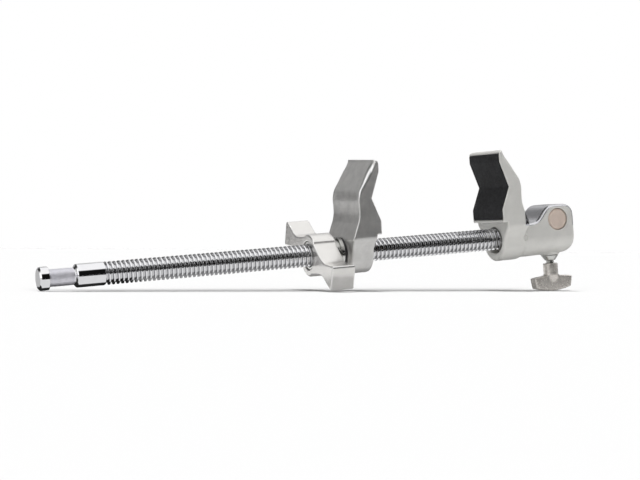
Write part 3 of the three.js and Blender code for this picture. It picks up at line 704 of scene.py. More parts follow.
# Each finish, from its real material and how its surface was made: its colour, metallic, roughness and how far
# that varies; the size and the contrast of its patches; the size and the depth of its grain; and how it is
# worn,
# with painted highlight and shade: rim paints ridges lighter, partly as a painted highlight, hollow paints
# hollows darker as painted shade, and ground gives the faces ground bare.
# Sizes are in millimetres
FINISHES = {
    # polished chrome over a rolled thread: a clear mirror with faint long waves; its crests are painted
    # lighter, partly as a painted highlight, and its roots darker as painted shade
    "chrome_plate": ("chrome", 1.0, 0.07, 0.03, 6.0, 0.03, 1.6, 0.002, {"rim": 1.0, "hollow": 0.75}),
    # plated knurl: the ridges scatter, so it looks pale and matt
    "knurled_chrome": ("knurled", 0.75, 0.36, 0.08, 3.0, 0.1, 0.35, 0.01, {}),
    # bead blasting leaves an even, matt, light grey skin with fine pits; the saddle is ground bare
    "blasted_cast_aluminium": ("cast", 0.3, 0.46, 0.05, 8.0, 0.06, 0.55, 0.02,
                               {"rim": 0.3, "ground": ("ground", 0.24)}),
    # tumbling smears the casting to a darker satin with bright edges, which are partly a painted highlight; its
    # hollows are painted darker as painted shade
    "tumbled_cast_aluminium": ("tumbled", 0.8, 0.36, 0.07, 7.0, 0.14, 0.5, 0.02,
                               {"rim": 0.5, "ground": ("belted", 0.28)}),
    # the wing nut is belt finished and then tumbled: bright, with soft reflections
    "satin_cast_aluminium": ("satin", 0.8, 0.22, 0.04, 6.0, 0.04, 0.6, 0.004, {"rim": 0.3}),
    # nickel over a zinc die casting: brownish, softly mottled
    "satin_nickel_die_casting": ("nickel", 0.7, 0.27, 0.04, 4.0, 0.06, 1.2, 0.003, {}),
    # a faced and plated bar end with a fine turned lay
    "turned_pin_end": ("pin", 0.3, 0.42, 0.05, 3.0, 0.06, 0.4, 0.01, {}),
    # turned and left bright: fine marks that blur the reflections a little
    "turned_bright_steel": ("steel", 1.0, 0.2, 0.05, 4.0, 0.08, 0.5, 0.006, {}),
    # blued and oiled: a dark satin
    "blued_spring_steel": ("dark", 1.0, 0.4, 0.05, 2.0, 0.15, 0.4, 0.008, {}),
    # pressed from powder: dull and speckled
    "sintered_bronze": ("bronze", 1.0, 0.42, 0.06, 2.0, 0.2, 0.3, 0.02, {}),
    # drawn bar: an even yellow satin
    "drawn_brass": ("brass", 1.0, 0.3, 0.05, 3.0, 0.1, 0.5, 0.006, {}),
    # moulded against a blasted tool: matt and dark
    "moulded_nylon": ("nylon", 0.0, 0.55, 0.06, 3.0, 0.15, 0.4, 0.01, {}),
}
MADE = {}


def finish(name):
    """The material of that name, made the first time it is asked for."""
    if name not in MADE:
        if name == "textured_rubber":
            MADE[name] = rubber(name)
        else:
            *values, wear_and_shade = FINISHES[name]
            MADE[name] = surface(name, *values, **wear_and_shade)
    return MADE[name]


# Outlines that both castings and pads use

# The back of a jaw above its foot, as shares of the jaw's depth and height
BACK_SHARES = np.array([
    [0.17, 0.975], [0.385, 0.866], [0.555, 0.76], [0.7, 0.672], [0.752, 0.58],
    [0.745, 0.49], [0.75, 0.41], [0.8, 0.335], [0.88, 0.265], [1.0, 0.1477],
])


def jaw_outline(jaw, lip, back, setback, drop):
    """A jaw's side outline down to under its foot: straight lips and hollow, a round nose, and a smooth back
    through its points."""
    nose = [[0, jaw.top - jaw.nose], [0.25 * jaw.nose, jaw.top - 0.3 * jaw.nose], [jaw.nose, jaw.top]]
    front = [[setback, -drop], [setback, jaw.lip_bottom], [0, jaw.lip_bottom], [0, jaw.lower_land],
             [jaw.vee_depth, jaw.vee_height], [0, jaw.upper_land]]
    heel = [[jaw.flank, 0], [jaw.flank, -drop]]
    curve = np.vstack([front, through(nose, 6), through(BACK_SHARES * [jaw.depth, jaw.top], 6), heel])
    return np.column_stack([lip + back * curve[:, 0], np.minimum(curve[:, 1], jaw.top)])


def foot_outline(jaw, half, drop):
    """A jaw's end outline: wider than the jaw above, flanks that run in to the boss, and a round underside."""
    side = jaw.width / 2 + OVERRUN
    rise = jaw.foot * (side - half) / (jaw.width / 2 - half)
    angle = np.linspace(np.pi + FOOT_TURN, 2 * np.pi - FOOT_TURN, 29)
    arc = np.column_stack([half * np.cos(angle), drop * np.sin(angle)])
    blend = curved(np.array([-half - 0.5 * (side - half), 0.5 * rise]), [-half, 0], arc[0], steps=7)[:-1]
    return np.vstack([[[-side, jaw.top + OVERRUN], [-side, rise]], blend, arc, blend[::-1] * [-1, 1],
                      [[side, rise], [side, jaw.top + OVERRUN]]])


def jaw_body(jaw, lip, back, side, end, x, y, z):
    """The distance to a jaw's plate and foot, with the back's edges rounder towards the top."""
    plate = rounded_slab(soft_outline(x, z, side, EDGE), y, jaw.width / 2, edge_radius(jaw, lip, back, x, z))
    return common(plate, outline_distance(y, z, end), FOOT_EDGE)


def edge_radius(jaw, lip, back, x, z):
    """How round a jaw's outer edges are: rounder up along the back, but nowhere rounder than the point lies
    deep behind the jaw's bent front, whose own edges stay sharp."""
    hollow = np.interp(z, [jaw.lower_land, jaw.vee_height, jaw.upper_land], [0, jaw.vee_depth, 0])
    depth = FRONT_SLOPE * (back * (x - lip) - hollow)
    growth = np.clip((z - SHOULDER_START) / SHOULDER_RISE, 0, 1)
    return jaw.edge + (np.clip(depth, jaw.edge, jaw.shoulder) - jaw.edge) * growth


def belted_edges(jaw, lip, back, side, points):
    """1 on the middle of the rounded edges along a jaw's back, where a belt has ground the skin away."""
    x, y, z = points.T
    radius = edge_radius(jaw, lip, back, x, z)
    inside = np.maximum(jaw.width / 2 - np.abs(y), -soft_outline(x, z, side, EDGE))
    middle = np.clip((BELT_REACH - inside / radius) * BELT_FADE, 0, 1)
    return middle * (radius > jaw.edge + BELT_ROUNDNESS) * (back * (x - lip) > BELT_DEPTH)


def pad_outline(jaw, lip, back, front, rear, bottom, top):
    """The bent band of a pad or of its recess, from a front depth to a rear depth."""
    def edge(depth):
        return [(depth, bottom), (depth, jaw.lower_land), (jaw.vee_depth + depth, jaw.vee_height),
                (depth, jaw.upper_land), (depth, top)]

    return np.array([[lip + back * depth, height] for depth, height in edge(front) + edge(rear)[::-1]])


def pad_recess(jaw, lip, back, x, y, z):
    """The distance to the recess that a pad lies in."""
    outline = pad_outline(jaw, lip, back, -OVERRUN, jaw.pad - jaw.proud + CLEARANCE,
                          jaw.pad_bottom - CLEARANCE, jaw.pad_top + CLEARANCE)
    return rounded_slab(outline_distance(x, z, outline), y, jaw.width / 2 - jaw.side_lip, EDGE)


def bevelled(half, radius, bevel):
    """The open profile of a pin about its middle, with bevelled ends."""
    return [(-half, radius - bevel), (bevel - half, radius), (half - bevel, radius), (half, radius - bevel)]


def round_bar(along, start, end, reach, radius):
    """The distance to a round bar with flat ends, from its distance to the axis."""
    return np.maximum(reach - radius, np.maximum(start - along, along - end))


class ClampOperator:
    """What the clamp's operators share"""

    bl_options = {"REGISTER", "UNDO"}


class CLAMP_OT_rod(ClampOperator, bpy.types.Operator):
    """Makes the threaded rod: turned spigot, knurled neck, thread and tenon"""

    bl_idname = "clamp.rod"
    bl_label = "Threaded rod"

    def execute(self, context):
        rod, jaw, block = Sizes("clamp_rod"), Sizes("clamp_jaw"), Sizes("clamp_block")
        radius, neck, tenon = rod.diameter / 2, rod.neck_diameter / 2, rod.tenon_diameter / 2
        neck_end, groove = rod.head + rod.neck, neck - rod.knurl_depth
        # the spigot's section from its end face: where each corner lies, its radius, and its rounding
        section = np.array([
            (0, radius - rod.chamfer, 0.35), (rod.chamfer, radius, 0.4), (rod.head, radius, 0.6),
            (rod.head, groove, 0.2), (neck_end, groove, 0.1), (neck_end, neck, 0.1),
            (neck_end + 0.4, neck + 0.2, 0.3), (neck_end + 0.6 * rod.cone, radius - 0.5, 0.3),
            (neck_end + 0.85 * rod.cone, radius, 0.3), (rod.spigot - 0.9, radius, 0.3),
            (rod.spigot - 0.3, radius - 0.6, 0.2), (rod.spigot, radius - rod.depth, 0.1),
        ])
        thread_end = jaw.lip + block.setback + MOUTH_DEPTH
        tenon_start = thread_end - 0.3
        bar = [(thread_end - 2, tenon - 1.2), (tenon_start, tenon), (tenon_start + rod.tenon, tenon)]
        thread_start = rod.spigot - rod.pitch - 0.8
        profile = rod.pitch, rod.depth, rod.crest, rod.root
        thread = helix(thread_start, thread_end, radius, *profile, steps=32, fade_in=1.2)
        knurl = knurled(rod.head + 0.4, neck_end - 0.1, neck, rod.knurl, rod.knurl_depth)
        for name, shape, material in (
            ("rod_spigot", turned_bar(section[:, :2], section[:, 2]), "chrome_plate"),
            ("rod_knurled_neck", knurl, "knurled_chrome"),
            ("rod_thread", thread, "chrome_plate"),
            ("rod_tenon", turned_bar(bar, BREAK), "chrome_plate"),
        ):
            make_piece(name, shape, "base", "threaded_rod", "chrome_plate", material)
        return {"FINISHED"}


class CLAMP_OT_fixed_jaw(ClampOperator, bpy.types.Operator):
    """Makes the fixed casting with its receiver block"""

    bl_idname = "clamp.fixed_jaw"
    bl_label = "Fixed jaw"

    def execute(self, context):
        rod, jaw, block = Sizes("clamp_rod"), Sizes("clamp_jaw"), Sizes("clamp_block")
        front, end = jaw.lip + block.setback, jaw.lip + block.end
        receiver, pin_x = jaw.lip + block.receiver, jaw.lip + LOCK_PIN_AT
        side = jaw_outline(jaw, jaw.lip, 1, block.setback, block.front + OVERRUN)
        foot = foot_outline(jaw, block.width / 2, block.front)
        crown, valley = jaw.lip + block.crown, jaw.lip + block.valley_end
        middle, heel = (crown + valley) / 2, front + block.rear
        # the saddle is the curve (1-u)^3 a + 3u(1-u)^2 b + 3u^2(1-u) c + u^3 d between two level ends
        u = np.linspace(0, 1, 13)[:, None]
        saddle = ((1 - u) ** 3 * [crown, block.top] + 3 * u * (1 - u) ** 2 * [middle, block.top]
                  + 3 * u**2 * (1 - u) * [middle, block.valley] + u**3 * [valley, block.valley])
        under, bend = block.rear + 1, end - block.corner
        lower = curved([bend, -under], [end, -under], [end, block.corner - block.rear], steps=8)
        upper = curved([end, block.top - block.corner], [end, block.top], [bend, block.top], steps=8)
        profile = np.vstack([[[front, -block.front - 1]], lower, upper, saddle,
                             [[heel, block.valley], [heel, block.front], [front, block.front]]])

        def distance(x, y, z):
            plate = jaw_body(jaw, jaw.lip, 1, side, foot, x, y, z)
            drop = block.front + (block.rear - block.front) * np.clip((x - front) / (end - front), 0, 1)
            squeeze = drop / (block.width / 2)
            section = np.where(z < 0, np.hypot(y * squeeze, z), np.abs(y) * squeeze) - drop
            bulk = common(section, outline_distance(x, z, profile), block.edge)
            whole = joined(plate, bulk, fillet=2.6)
            lock = np.hypot(x - receiver, y)
            boss = round_bar(z, -block.lock_boss_drop, 0, lock, block.lock_boss / 2)
            whole = joined(whole, boss, fillet=1.6)
            oval = np.hypot((y + MOUTH_ASIDE) / MOUTH_WIDTH, (z + MOUTH_BELOW) / MOUTH_HEIGHT) * MOUTH_HEIGHT
            mouth = round_bar(x, front - PAST, front + MOUTH_DEPTH, oval, MOUTH_HEIGHT)
            whole = taken(whole, mouth, fillet=0.9)
            tenon = round_bar(x, front, front + MOUTH_DEPTH + rod.tenon, np.hypot(y, z),
                              rod.tenon_diameter / 2 + CLEARANCE)
            bore = np.hypot(x - receiver, z - block.receiver_height) - block.pin / 2 - CLEARANCE / 2
            bush, screw = round_bar(z, FAR_BELOW, -6.7, lock, 5.5), round_bar(z, FAR_BELOW, 8, lock, 3.8)
            lock_pin = np.hypot(x - pin_x, z) - LOCK_PIN - PLAY
            for hole in (tenon, bore, bush, screw, lock_pin, pad_recess(jaw, jaw.lip, 1, x, y, z)):
                whole = taken(whole, hole, BREAK)
            return whole

        half = jaw.width / 2
        low, high = (jaw.lip, -half, -block.front), (end, half, jaw.top)
        points, quads, curl = cast(distance, low, high, step=0.56)
        x, y, z = points.T
        bare = (outline_distance(x, z, profile) > -GROUND_SKIN) & (z > GROUND_ABOVE) & (x > heel)
        make_piece("fixed_jaw_casting", (points, quads, curl, bare), "base", "fixed_jaw", "cast_aluminium",
                   "blasted_cast_aluminium")
        reach = block.width / 2 - LOCK_PIN_INSET
        pin = turned_bar(bevelled(reach, LOCK_PIN, BREAK), radius=0.1, sides=SMALL_SIDES)
        make_piece("rod_lock_pin_turned", pin, "base", "rod_lock_pin", "spring_steel",
                   "blasted_cast_aluminium", place=across(pin_x, 0))
        return {"FINISHED"}


class CLAMP_OT_moving_jaw(ClampOperator, bpy.types.Operator):
    """Makes the moving casting with its round boss"""

    bl_idname = "clamp.moving_jaw"
    bl_label = "Moving jaw"

    def execute(self, context):
        jaw = Sizes("clamp_jaw")
        lip = jaw.lip - jaw.opening
        front = lip - jaw.moving_setback
        rear = front - jaw.moving_boss
        radius, bore, seat, seat_from, core = 15.0, 10.2, 13.0, rear + 7, -20
        chamfer, chamfer_end = radius - 3.3, rear + 2.8
        side = jaw_outline(jaw, lip, -1, jaw.moving_setback, radius + OVERRUN)
        foot = foot_outline(jaw, radius, radius)
        section = [(rear, core), (rear, chamfer), (chamfer_end, radius), (front - EDGE, radius),
                   (front, radius - EDGE), (front, core)]

        def distance(x, y, z):
            plate = jaw_body(jaw, lip, -1, side, foot, x, y, z)
            reach = np.hypot(y, z)
            boss = outline_distance(x, reach, section) + 0.2
            whole = joined(plate, boss, fillet=1.6)
            whole = taken(whole, round_bar(x, rear - PAST, front, reach, bore), fillet=0.4)
            whole = taken(whole, round_bar(x, seat_from, front + PAST, reach, seat), fillet=0.5)
            return taken(whole, pad_recess(jaw, lip, -1, x, y, z), BREAK)

        half = jaw.width / 2
        low, high = (lip - jaw.depth, -half, -radius), (lip, half, jaw.top)
        points, quads, curl = cast(distance, low, high, step=0.5)
        shape = points, quads, curl, belted_edges(jaw, lip, -1, side, points)
        make_piece("moving_jaw_casting", shape, "jaw", "moving_jaw", "tumbled_aluminium",
                   "tumbled_cast_aluminium", JAW_LEAN)
        return {"FINISHED"}


class CLAMP_OT_pads(ClampOperator, bpy.types.Operator):
    """Makes the two rubber pads"""

    bl_idname = "clamp.pads"
    bl_label = "Pads"

    def execute(self, context):
        jaw = Sizes("clamp_jaw")
        width = jaw.width - 2 * jaw.side_lip - 2 * CLEARANCE
        corners = [0.6, 1.5, 1.5, 1.5, 0.6, 0.5, 1.5, 1.5, 1.5, 0.5]
        for name, lip, back, body, node, lean in (
            ("fixed_pad", jaw.lip, 1, "base", "fixed_jaw_pad", 0.0),
            ("moving_pad", jaw.lip - jaw.opening, -1, "jaw", "moving_jaw_pad", JAW_LEAN),
        ):
            band = pad_outline(jaw, lip, back, -jaw.proud, jaw.pad - jaw.proud, jaw.pad_bottom, jaw.pad_top)
            pad = slab(rounded(band, corners, steps=4), width, edge=0.35)
            make_piece(name, pad, body, node, "pad_rubber", "textured_rubber", lean)
        return {"FINISHED"}


class CLAMP_OT_wing_nut(ClampOperator, bpy.types.Operator):
    """Makes the wing nut"""

    bl_idname = "clamp.wing_nut"
    bl_label = "Wing nut"

    def execute(self, context):
        nut = Sizes("clamp_nut")
        tip, hub, soft = nut.span / 2, nut.hub / 2, nut.tip_edge
        crest = [tip - soft, nut.tip / 2 - 0.25 * soft]
        # half of the outline, from a wing's tip down to its waist, over the hub and back out
        rising = [crest, [0.75 * tip, nut.waist / 2 + 1.2], [0.568 * tip, nut.waist / 2],
                  [0.72 * hub, 0.7 * hub], [0.4 * hub, 0.93 * hub], [0, hub]]
        half = through(rising + [[-y, z] for y, z in rising[-2::-1]], 9)
        corner = curved([tip, nut.tip / 2 - soft], [tip, nut.tip / 2], crest, steps=6)[:-1]
        half = np.vstack([corner, half, corner[::-1] * [-1, 1]])
        outline = np.vstack([half, -half])
        left, right = NUT_START, NUT_START + nut.length
        middle, screw_hole = (left + right) / 2, 2.3

        def distance(x, y, z):
            wings = soft_outline(y, z, outline, nut.edge / 2)
            body = rounded_slab(wings, x - middle, nut.length / 2, nut.edge)
            body = taken(body, np.hypot(y, z) - nut.sleeve / 2 - CLEARANCE, fillet=0.6)
            screw = np.maximum(np.hypot(x - middle, y) - screw_hole, z)
            return taken(body, screw, fillet=0.4)

        shape = cast(distance, (left, -tip, -hub), (right, tip, hub), step=0.36)
        make_piece("wing_nut_casting", shape, "nut", "wing_nut", "satin_aluminium", "satin_cast_aluminium",
                   NUT_ROLL)
        return {"FINISHED"}


class CLAMP_OT_nut_parts(ClampOperator, bpy.types.Operator):
    """Makes the sleeve, washers, rings and bush between the nut and the moving jaw"""

    bl_idname = "clamp.nut_parts"
    bl_label = "Sleeve and washers"

    def execute(self, context):
        nut = Sizes("clamp_nut")
        bore, outer, collar, rim = 8.2375, nut.sleeve / 2, nut.collar / 2, 0.35
        hole, groove, seat = outer + CLEARANCE, outer - 1, 12.7
        # each turned ring's section: places along the rod and radii
        sleeve = [(194.2, bore), (194.2, outer), (210.9, outer), (210.9, collar), (214.1, collar),
                  (214.1, outer), (228.0, outer), (228.0, groove), (230.0, groove), (230.0, outer),
                  (231.4, outer), (231.4, bore)]
        make_piece("nut_sleeve_turned", turned_ring(sleeve, rim), "nut", "nut_sleeve", "bright_steel",
                   "turned_bright_steel", NUT_ROLL)
        for name, node, start, end, radius, slot, material in (
            ("thrust_washer_turned", "thrust_washer", 215.0, 217.4, nut.thrust / 2, "bright_steel",
             "turned_bright_steel"),
            ("friction_washer_cut", "friction_washer", 217.7, 218.9, 11.0, "nylon", "moulded_nylon"),
            ("retaining_washer_turned", "retaining_washer", 226.5, 228.0, seat, "bright_steel",
             "turned_bright_steel"),
        ):
            ring = turned_ring([(start, hole), (start, radius), (end, radius), (end, hole)], rim)
            make_piece(name, ring, "slider", node, slot, material)
        bush = [(232.2, bore), (232.2, seat), (237.6, seat), (237.6, bore)]
        bush = turned_ring(bush, radius=0.4)
        make_piece("guide_bush_turned", bush, "jaw", "jaw_guide_bush", "bearing_bronze", "sintered_bronze",
                   JAW_LEAN)
        for node in ("nut_snap_ring", "sleeve_grub_screw"):
            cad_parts[node].material_slots[0].material = finish("blued_spring_steel")
        return {"FINISHED"}


class CLAMP_OT_lock_screw(ClampOperator, bpy.types.Operator):
    """Makes the receiver's pin, the lock screw with its bush and shoe, and the T-handle"""

    bl_idname = "clamp.lock_screw"
    bl_label = "Receiver and lock screw"

    def execute(self, context):
        jaw, block, handle = Sizes("clamp_jaw"), Sizes("clamp_block"), Sizes("clamp_handle")
        receiver = jaw.lip + block.receiver
        pin = turned_bar(bevelled(block.width / 2, block.pin / 2, bevel=1.7), radius=0.25)
        make_piece("receiver_pin_turned", pin, "cross_pin", "receiver_pin", "receiver_steel", "turned_pin_end",
                   place=across(receiver, block.receiver_height))

        screw = handle.screw / 2
        hole, top = screw + CLEARANCE, -block.lock_boss_drop - CLEARANCE
        nose, nose_radius, barrel, barrel_end = top - 3.8, 3.9, 5.2, -7
        section = [(nose, hole), (nose, nose_radius), (top, block.lock_boss / 2), (top, barrel),
                   (barrel_end, barrel), (barrel_end, hole)]
        bush = turned_ring(section, [0.3, 0.7, 0.7, 0.3, 0.3, 0.3], sides=64)
        shoulder = block.receiver_height - block.pin / 2 - 2 * CLEARANCE - 3.2
        thread = helix(-handle.top - 9, shoulder + 0.6, screw, pitch=1.0, depth=0.55, crest=0.2, root=0.2,
                       steps=28, fade_in=0.8, fade_out=0.8)
        stem, nipple = 2.2, 1.5
        tip = [(shoulder - 1.5, stem), (shoulder - 0.3, stem), (shoulder, nipple), (shoulder + 1.4, nipple)]
        for name, shape, body, node in (
            ("lock_bush_turned", bush, "base", "lock_screw_bush"),
            ("lock_screw_thread", thread, "screw", "lock_screw"),
            ("lock_screw_tip", turned_bar(tip, radius=0.2, sides=SMALL_SIDES), "screw", "lock_screw"),
        ):
            make_piece(name, shape, body, node, "bright_steel", "turned_bright_steel", place=upright(receiver))
        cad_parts["lock_screw_shoe"].material_slots[0].material = finish("drawn_brass")

        long, foot, neck = handle.bar / 2, handle.bar / 2 - 1.3, handle.neck / 2
        belly = curved([foot, -handle.end_drop], [0, handle.end_drop - 2 * handle.drop + FLOOR_GAP],
                       [-foot, -handle.end_drop], steps=16)
        crest, taper, taper_drop, bore_end = 1.2 - handle.bar_top, 3.2, 7.0, -handle.top - 9.5
        bar_ends = [-long, -handle.bar_top], [long, -handle.bar_top]
        outline = np.vstack([[bar_ends[0], [-neck, crest], [neck, crest], bar_ends[1]], belly])

        def distance(x, y, z):
            bar = rounded_slab(soft_outline(x, z, outline, handle.edge), y, handle.thickness / 2, handle.edge)
            reach = np.hypot(x, y)
            slope = neck - taper * np.clip((-z - handle.bar_top + 1.5) / taper_drop, 0, 1)
            ends = np.maximum(z + handle.top, -z - handle.bar_top - taper_drop)
            whole = joined(bar, common(reach - slope, ends, fillet=0.9), fillet=1.4)
            return taken(whole, round_bar(z, bore_end, 0, reach, hole), fillet=0.4)

        low, high = (-long, -neck, -handle.drop), (long, neck, -handle.top)
        points, faces, curl = cast(distance, low, high, step=0.26)
        shape = points + [receiver, 0, 0], faces, curl
        make_piece("t_handle_casting", shape, "screw", "t_handle", "satin_nickel", "satin_nickel_die_casting")
        cross_pin = 1.1
        cross = turned_bar([(PLAY - neck, cross_pin), (neck - PLAY, cross_pin)], radius=0.05, sides=SMALL_SIDES)
        make_piece("t_handle_pin_turned", cross, "screw", "t_handle_pin", "spring_steel",
                   "satin_nickel_die_casting", place=across(receiver, HANDLE_PIN_AT))
        return {"FINISHED"}


# Cards that only reflections see, in metres: two corners each, and how bright they glow. The strips behind the
# rod and beside the near wing are painted shadow: dark sheets where the clamp's shade lies on the floor, as
# reflections see it. The other floor sheets are grey or dark stand-ins for the floor and the room in
# reflections
CARDS = (
    ("card_behind", (-0.2, 0.45, 0), (0.8, 0.45, 0.16), 0.08),
    # painted shadow: the rod's shade on the floor behind it, near black, for reflections only
    ("floor_behind", (-0.21, -0.005, 0.0004), (-0.135, 0.06, 0.0004), 0.02),
    # painted shadow: the same strip behind the thread, lighter
    ("floor_thread", (-0.135, -0.005, 0.0004), (0.4, 0.06, 0.0004), 0.3),
    ("floor_left", (-0.9, -0.0035, 0.0004), (-0.21, 0.6, 0.0004), 0.5),
    ("floor_near", (-0.9, -0.08, 0.0004), (0.9, -0.005, 0.0004), 0.74),
    # painted shadow: the near wing's shade on the floor, for reflections only
    ("floor_wing", (-0.012, -0.052, 0.0006), (0.02, -0.036, 0.0006), 0.4),
    ("floor_before", (-0.9, -1.5, 0.0004), (0.9, -0.08, 0.0004), 0.006),
)
ALL_BUT_REFLECTIONS = "camera", "diffuse", "transmission", "volume_scatter", "shadow"
FLOOR_REACH = 12.0

# The gauze in metres: two corners, from where to where off its middle it thins out across and along the rod,
# and how much light its middle lets through
GAUZE = (-0.22, -0.043, 0.0002), (0.21, 0.075, 0.0002)
THINS_ACROSS, THINS_ALONG, GAUZE_CLEAR = (0.012, (GAUZE[1][1] - GAUZE[0][1]) / 2), (0.15, 0.205), 0.66

# The camera: its lens in millimetres, its place in metres and its three directions
LENS, CAMERA_AT = 98.83, (-0.46867, -1.14852, 0.03142)
RIGHT, UP, AHEAD = (0.92582, -0.37784, 0.00885), (-0.00956, 0.0, 0.99995), (0.37783, 0.92587, 0.00361)


class CLAMP_OT_stage(ClampOperator, bpy.types.Operator):
    """Makes the floor, the light and the camera"""

    bl_idname = "clamp.stage"
    bl_label = "Floor, light and camera"

    def execute(self, context):
        scene = context.scene
        scene.view_settings.view_transform = "Standard"
        corner = (FLOOR_REACH, FLOOR_REACH, 0)
        self.sheet("floor", (-FLOOR_REACH, -FLOOR_REACH, 0), corner, self.floor_material())
        self.light_world(scene)
        lamp = bpy.data.lights.new("overhead", "SUN")
        lamp.energy, lamp.angle = 2.4, math.radians(15)
        sun = bpy.data.objects.new("overhead", lamp)
        sun.visible_glossy = False
        sun.rotation_euler = (math.radians(-6), math.radians(-4), 0)
        scene.collection.objects.link(sun)
        for name, low, high, glow in CARDS:
            material, tree, _ = new_material(name + "_paper")
            light = add(tree, "ShaderNodeEmission", {"Color": (glow, glow, glow, 1)})
            tree.links.new(light.outputs[0], tree.nodes["Material Output"].inputs["Surface"])
            self.sheet(name, low, high, material, *ALL_BUT_REFLECTIONS)
        self.sheet("gauze", *GAUZE, self.gauze_material(), "camera", "glossy")
        view = bpy.data.cameras.new("view")
        view.sensor_width, view.lens = 36.0, LENS
        view.clip_start, view.clip_end = 0.05, 50
        camera = bpy.data.objects.new("view", view)
        placing = np.eye(4)
        placing[:3, :3] = np.array([RIGHT, UP, [-part for part in AHEAD]]).T
        placing[:3, 3] = CAMERA_AT
        camera.matrix_world = Matrix(placing.tolist())
        scene.collection.objects.link(camera)
        scene.camera = camera
        return {"FINISHED"}

    def sheet(self, name, low, high, material, *hidden_from):
        """A flat sheet of the stage, level or upright, between its first and its third corner."""
        (x, y, z), (x2, y2, z2) = low, high
        mesh = bpy.data.meshes.new(name)
        mesh.from_pydata([(x, y, z), (x2, y, z), (x2, y2, z2), (x, y2, z2)], [], [(0, 1, 2, 3)])
        mesh.materials.append(material)
        sheet = bpy.data.objects.new(name, mesh)
        for sight in hidden_from:
            setattr(sheet, "visible_" + sight, False)
        bpy.context.scene.collection.objects.link(sheet)

    def gauze_material(self):
        """A soft dark gauze flat under the clamp, which only thins the light that reaches the floor: it
        deepens the narrow shadow along the rod."""
        material, tree, _ = new_material("soft_black_gauze")
        place = add(tree, "ShaderNodeTexCoord").outputs["Object"]
        parts = add(tree, "ShaderNodeSeparateXYZ", links={"Vector": place}).outputs
        middle = (GAUZE[0][1] + GAUZE[1][1]) / 2
        off = add(tree, "ShaderNodeMath", {1: -middle}, {0: parts["Y"]}, operation="ADD").outputs[0]
        edges = {}
        for k, (value, thins) in enumerate(((off, THINS_ACROSS), (parts["X"], THINS_ALONG))):
            size = add(tree, "ShaderNodeMath", links={0: value}, operation="ABSOLUTE").outputs[0]
            edges[k] = spread_over(tree, size, *thins)
        most = add(tree, "ShaderNodeMath", links=edges, operation="MAXIMUM").outputs[0]
        tone = ramp(tree, most, (0.0, GAUZE_CLEAR), (1.0, 1.0))
        clear = add(tree, "ShaderNodeBsdfTransparent", links={"Color": tone})
        tree.links.new(clear.outputs[0], tree.nodes["Material Output"].inputs["Surface"])
        return material

    def floor_material(self):
        """Matt white paper. What the camera sees of it gets a little more, to meet the white behind."""
        material, tree, shader = new_material("matt_white_paper")
        shader.inputs["Base Color"].default_value = tint("floor")
        shader.inputs["Roughness"].default_value = 0.95
        shader.inputs["Specular IOR Level"].default_value = 0.0
        shader.inputs["Emission Color"].default_value = (1, 1, 1, 1)
        seen = add(tree, "ShaderNodeLightPath").outputs["Is Camera Ray"]
        lift = add(tree, "ShaderNodeMath", {1: 0.03}, {0: seen}, operation="MULTIPLY")
        tree.links.new(lift.outputs[0], shader.inputs["Emission Strength"])
        return material

    def light_world(self, scene):
        """A studio tent, as reflections see it: a bright ceiling, a dark room in front up to the ceiling's
        edge, white far on the left, and behind a sweep from dark at the floor to white above, with one dark
        patch. Matt surfaces see more light in front than behind, and the camera sees plain white."""
        world = bpy.data.worlds.new("studio")
        scene.world = world
        world.use_nodes = True
        tree = world.node_tree
        background = tree.nodes["Background"]
        way = add(tree, "ShaderNodeTexCoord").outputs["Generated"]
        parts = add(tree, "ShaderNodeSeparateXYZ", links={"Vector": way}).outputs

        def where(x_from, x_to, y_from, y_to):
            shares = spread_over(tree, parts["X"], x_from, x_to), spread_over(tree, parts["Y"], y_from, y_to)
            return add(tree, "ShaderNodeMath", links=dict(enumerate(shares)), operation="MULTIPLY").outputs[0]

        height = spread_over(tree, parts["Z"], -1.0, 1.0)
        front = ramp(tree, height, (0.0, 0.006), (0.85, 0.006), (0.885, 1.0))
        back = ramp(tree, height, (0.5, 0.05), (0.56, 0.14), (0.645, 0.52), (0.74, 0.58), (0.83, 0.66),
                    (0.88, 1.0))
        room = mixed(tree, where(-0.55, -0.8, 0.25, 0.0), back, (1.3, 1.3, 1.3, 1))
        beam = add(tree, "ShaderNodeVectorMath", {1: (-0.42, 0.58, 0.70)}, {0: way}, operation="DOT_PRODUCT")
        patch = spread_over(tree, beam.outputs["Value"], 0.85, 0.93)
        room = mixed(tree, patch, room, (0.04, 0.04, 0.04, 1))
        room = mixed(tree, where(-0.55, -0.3, -0.05, -0.3), room, front)
        ray = add(tree, "ShaderNodeLightPath").outputs
        matt = ramp(tree, spread_over(tree, parts["Y"], 0.3, -0.7), (0.0, 0.25), (1.0, 0.97))
        room = mixed(tree, ray["Is Diffuse Ray"], room, matt)
        tree.links.new(mixed(tree, ray["Is Camera Ray"], room, (1, 1, 1, 1)), background.inputs["Color"])
        background.inputs["Strength"].default_value = 1.0


OPERATORS = (
    CLAMP_OT_stage,
    CLAMP_OT_rod,
    CLAMP_OT_fixed_jaw,
    CLAMP_OT_moving_jaw,
    CLAMP_OT_pads,
    CLAMP_OT_wing_nut,
    CLAMP_OT_nut_parts,
    CLAMP_OT_lock_screw,
)


class CLAMP_PT_panel(bpy.types.Panel):
    """Lists the clamp's pieces"""

    bl_idname = "CLAMP_PT_panel"
    bl_label = "Vise clamp"
    bl_space_type = "VIEW_3D"
    bl_region_type = "UI"
    bl_category = "Clamp"

    def draw(self, context):
        for operator in OPERATORS:
            self.layout.operator(operator.bl_idname)
        for name in GROUPS:
            group = getattr(context.scene, name)
            for key in group.__annotations__:
                self.layout.prop(group, key)


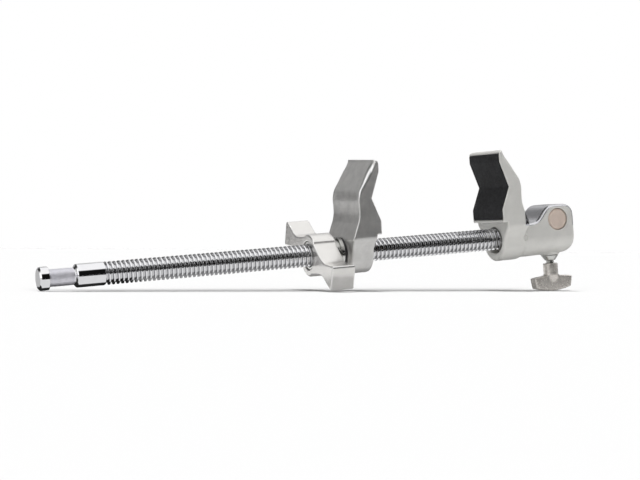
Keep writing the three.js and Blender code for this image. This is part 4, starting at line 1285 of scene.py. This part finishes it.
def register():
    for name, group in GROUPS.items():
        bpy.utils.register_class(group)
        setattr(bpy.types.Scene, name, bpy.props.PointerProperty(type=group))
    for operator in OPERATORS:
        bpy.utils.register_class(operator)
    bpy.utils.register_class(CLAMP_PT_panel)


def unregister():
    bpy.utils.unregister_class(CLAMP_PT_panel)
    for operator in reversed(OPERATORS):
        bpy.utils.unregister_class(operator)
    for name, group in GROUPS.items():
        delattr(bpy.types.Scene, name)
        bpy.utils.unregister_class(group)


def main():
    """Makes every piece in order."""
    register()
    for operator in OPERATORS:
        area, name = operator.bl_idname.split(".")
        getattr(getattr(bpy.ops, area), name)()


if __name__ == "__main__":
    main()
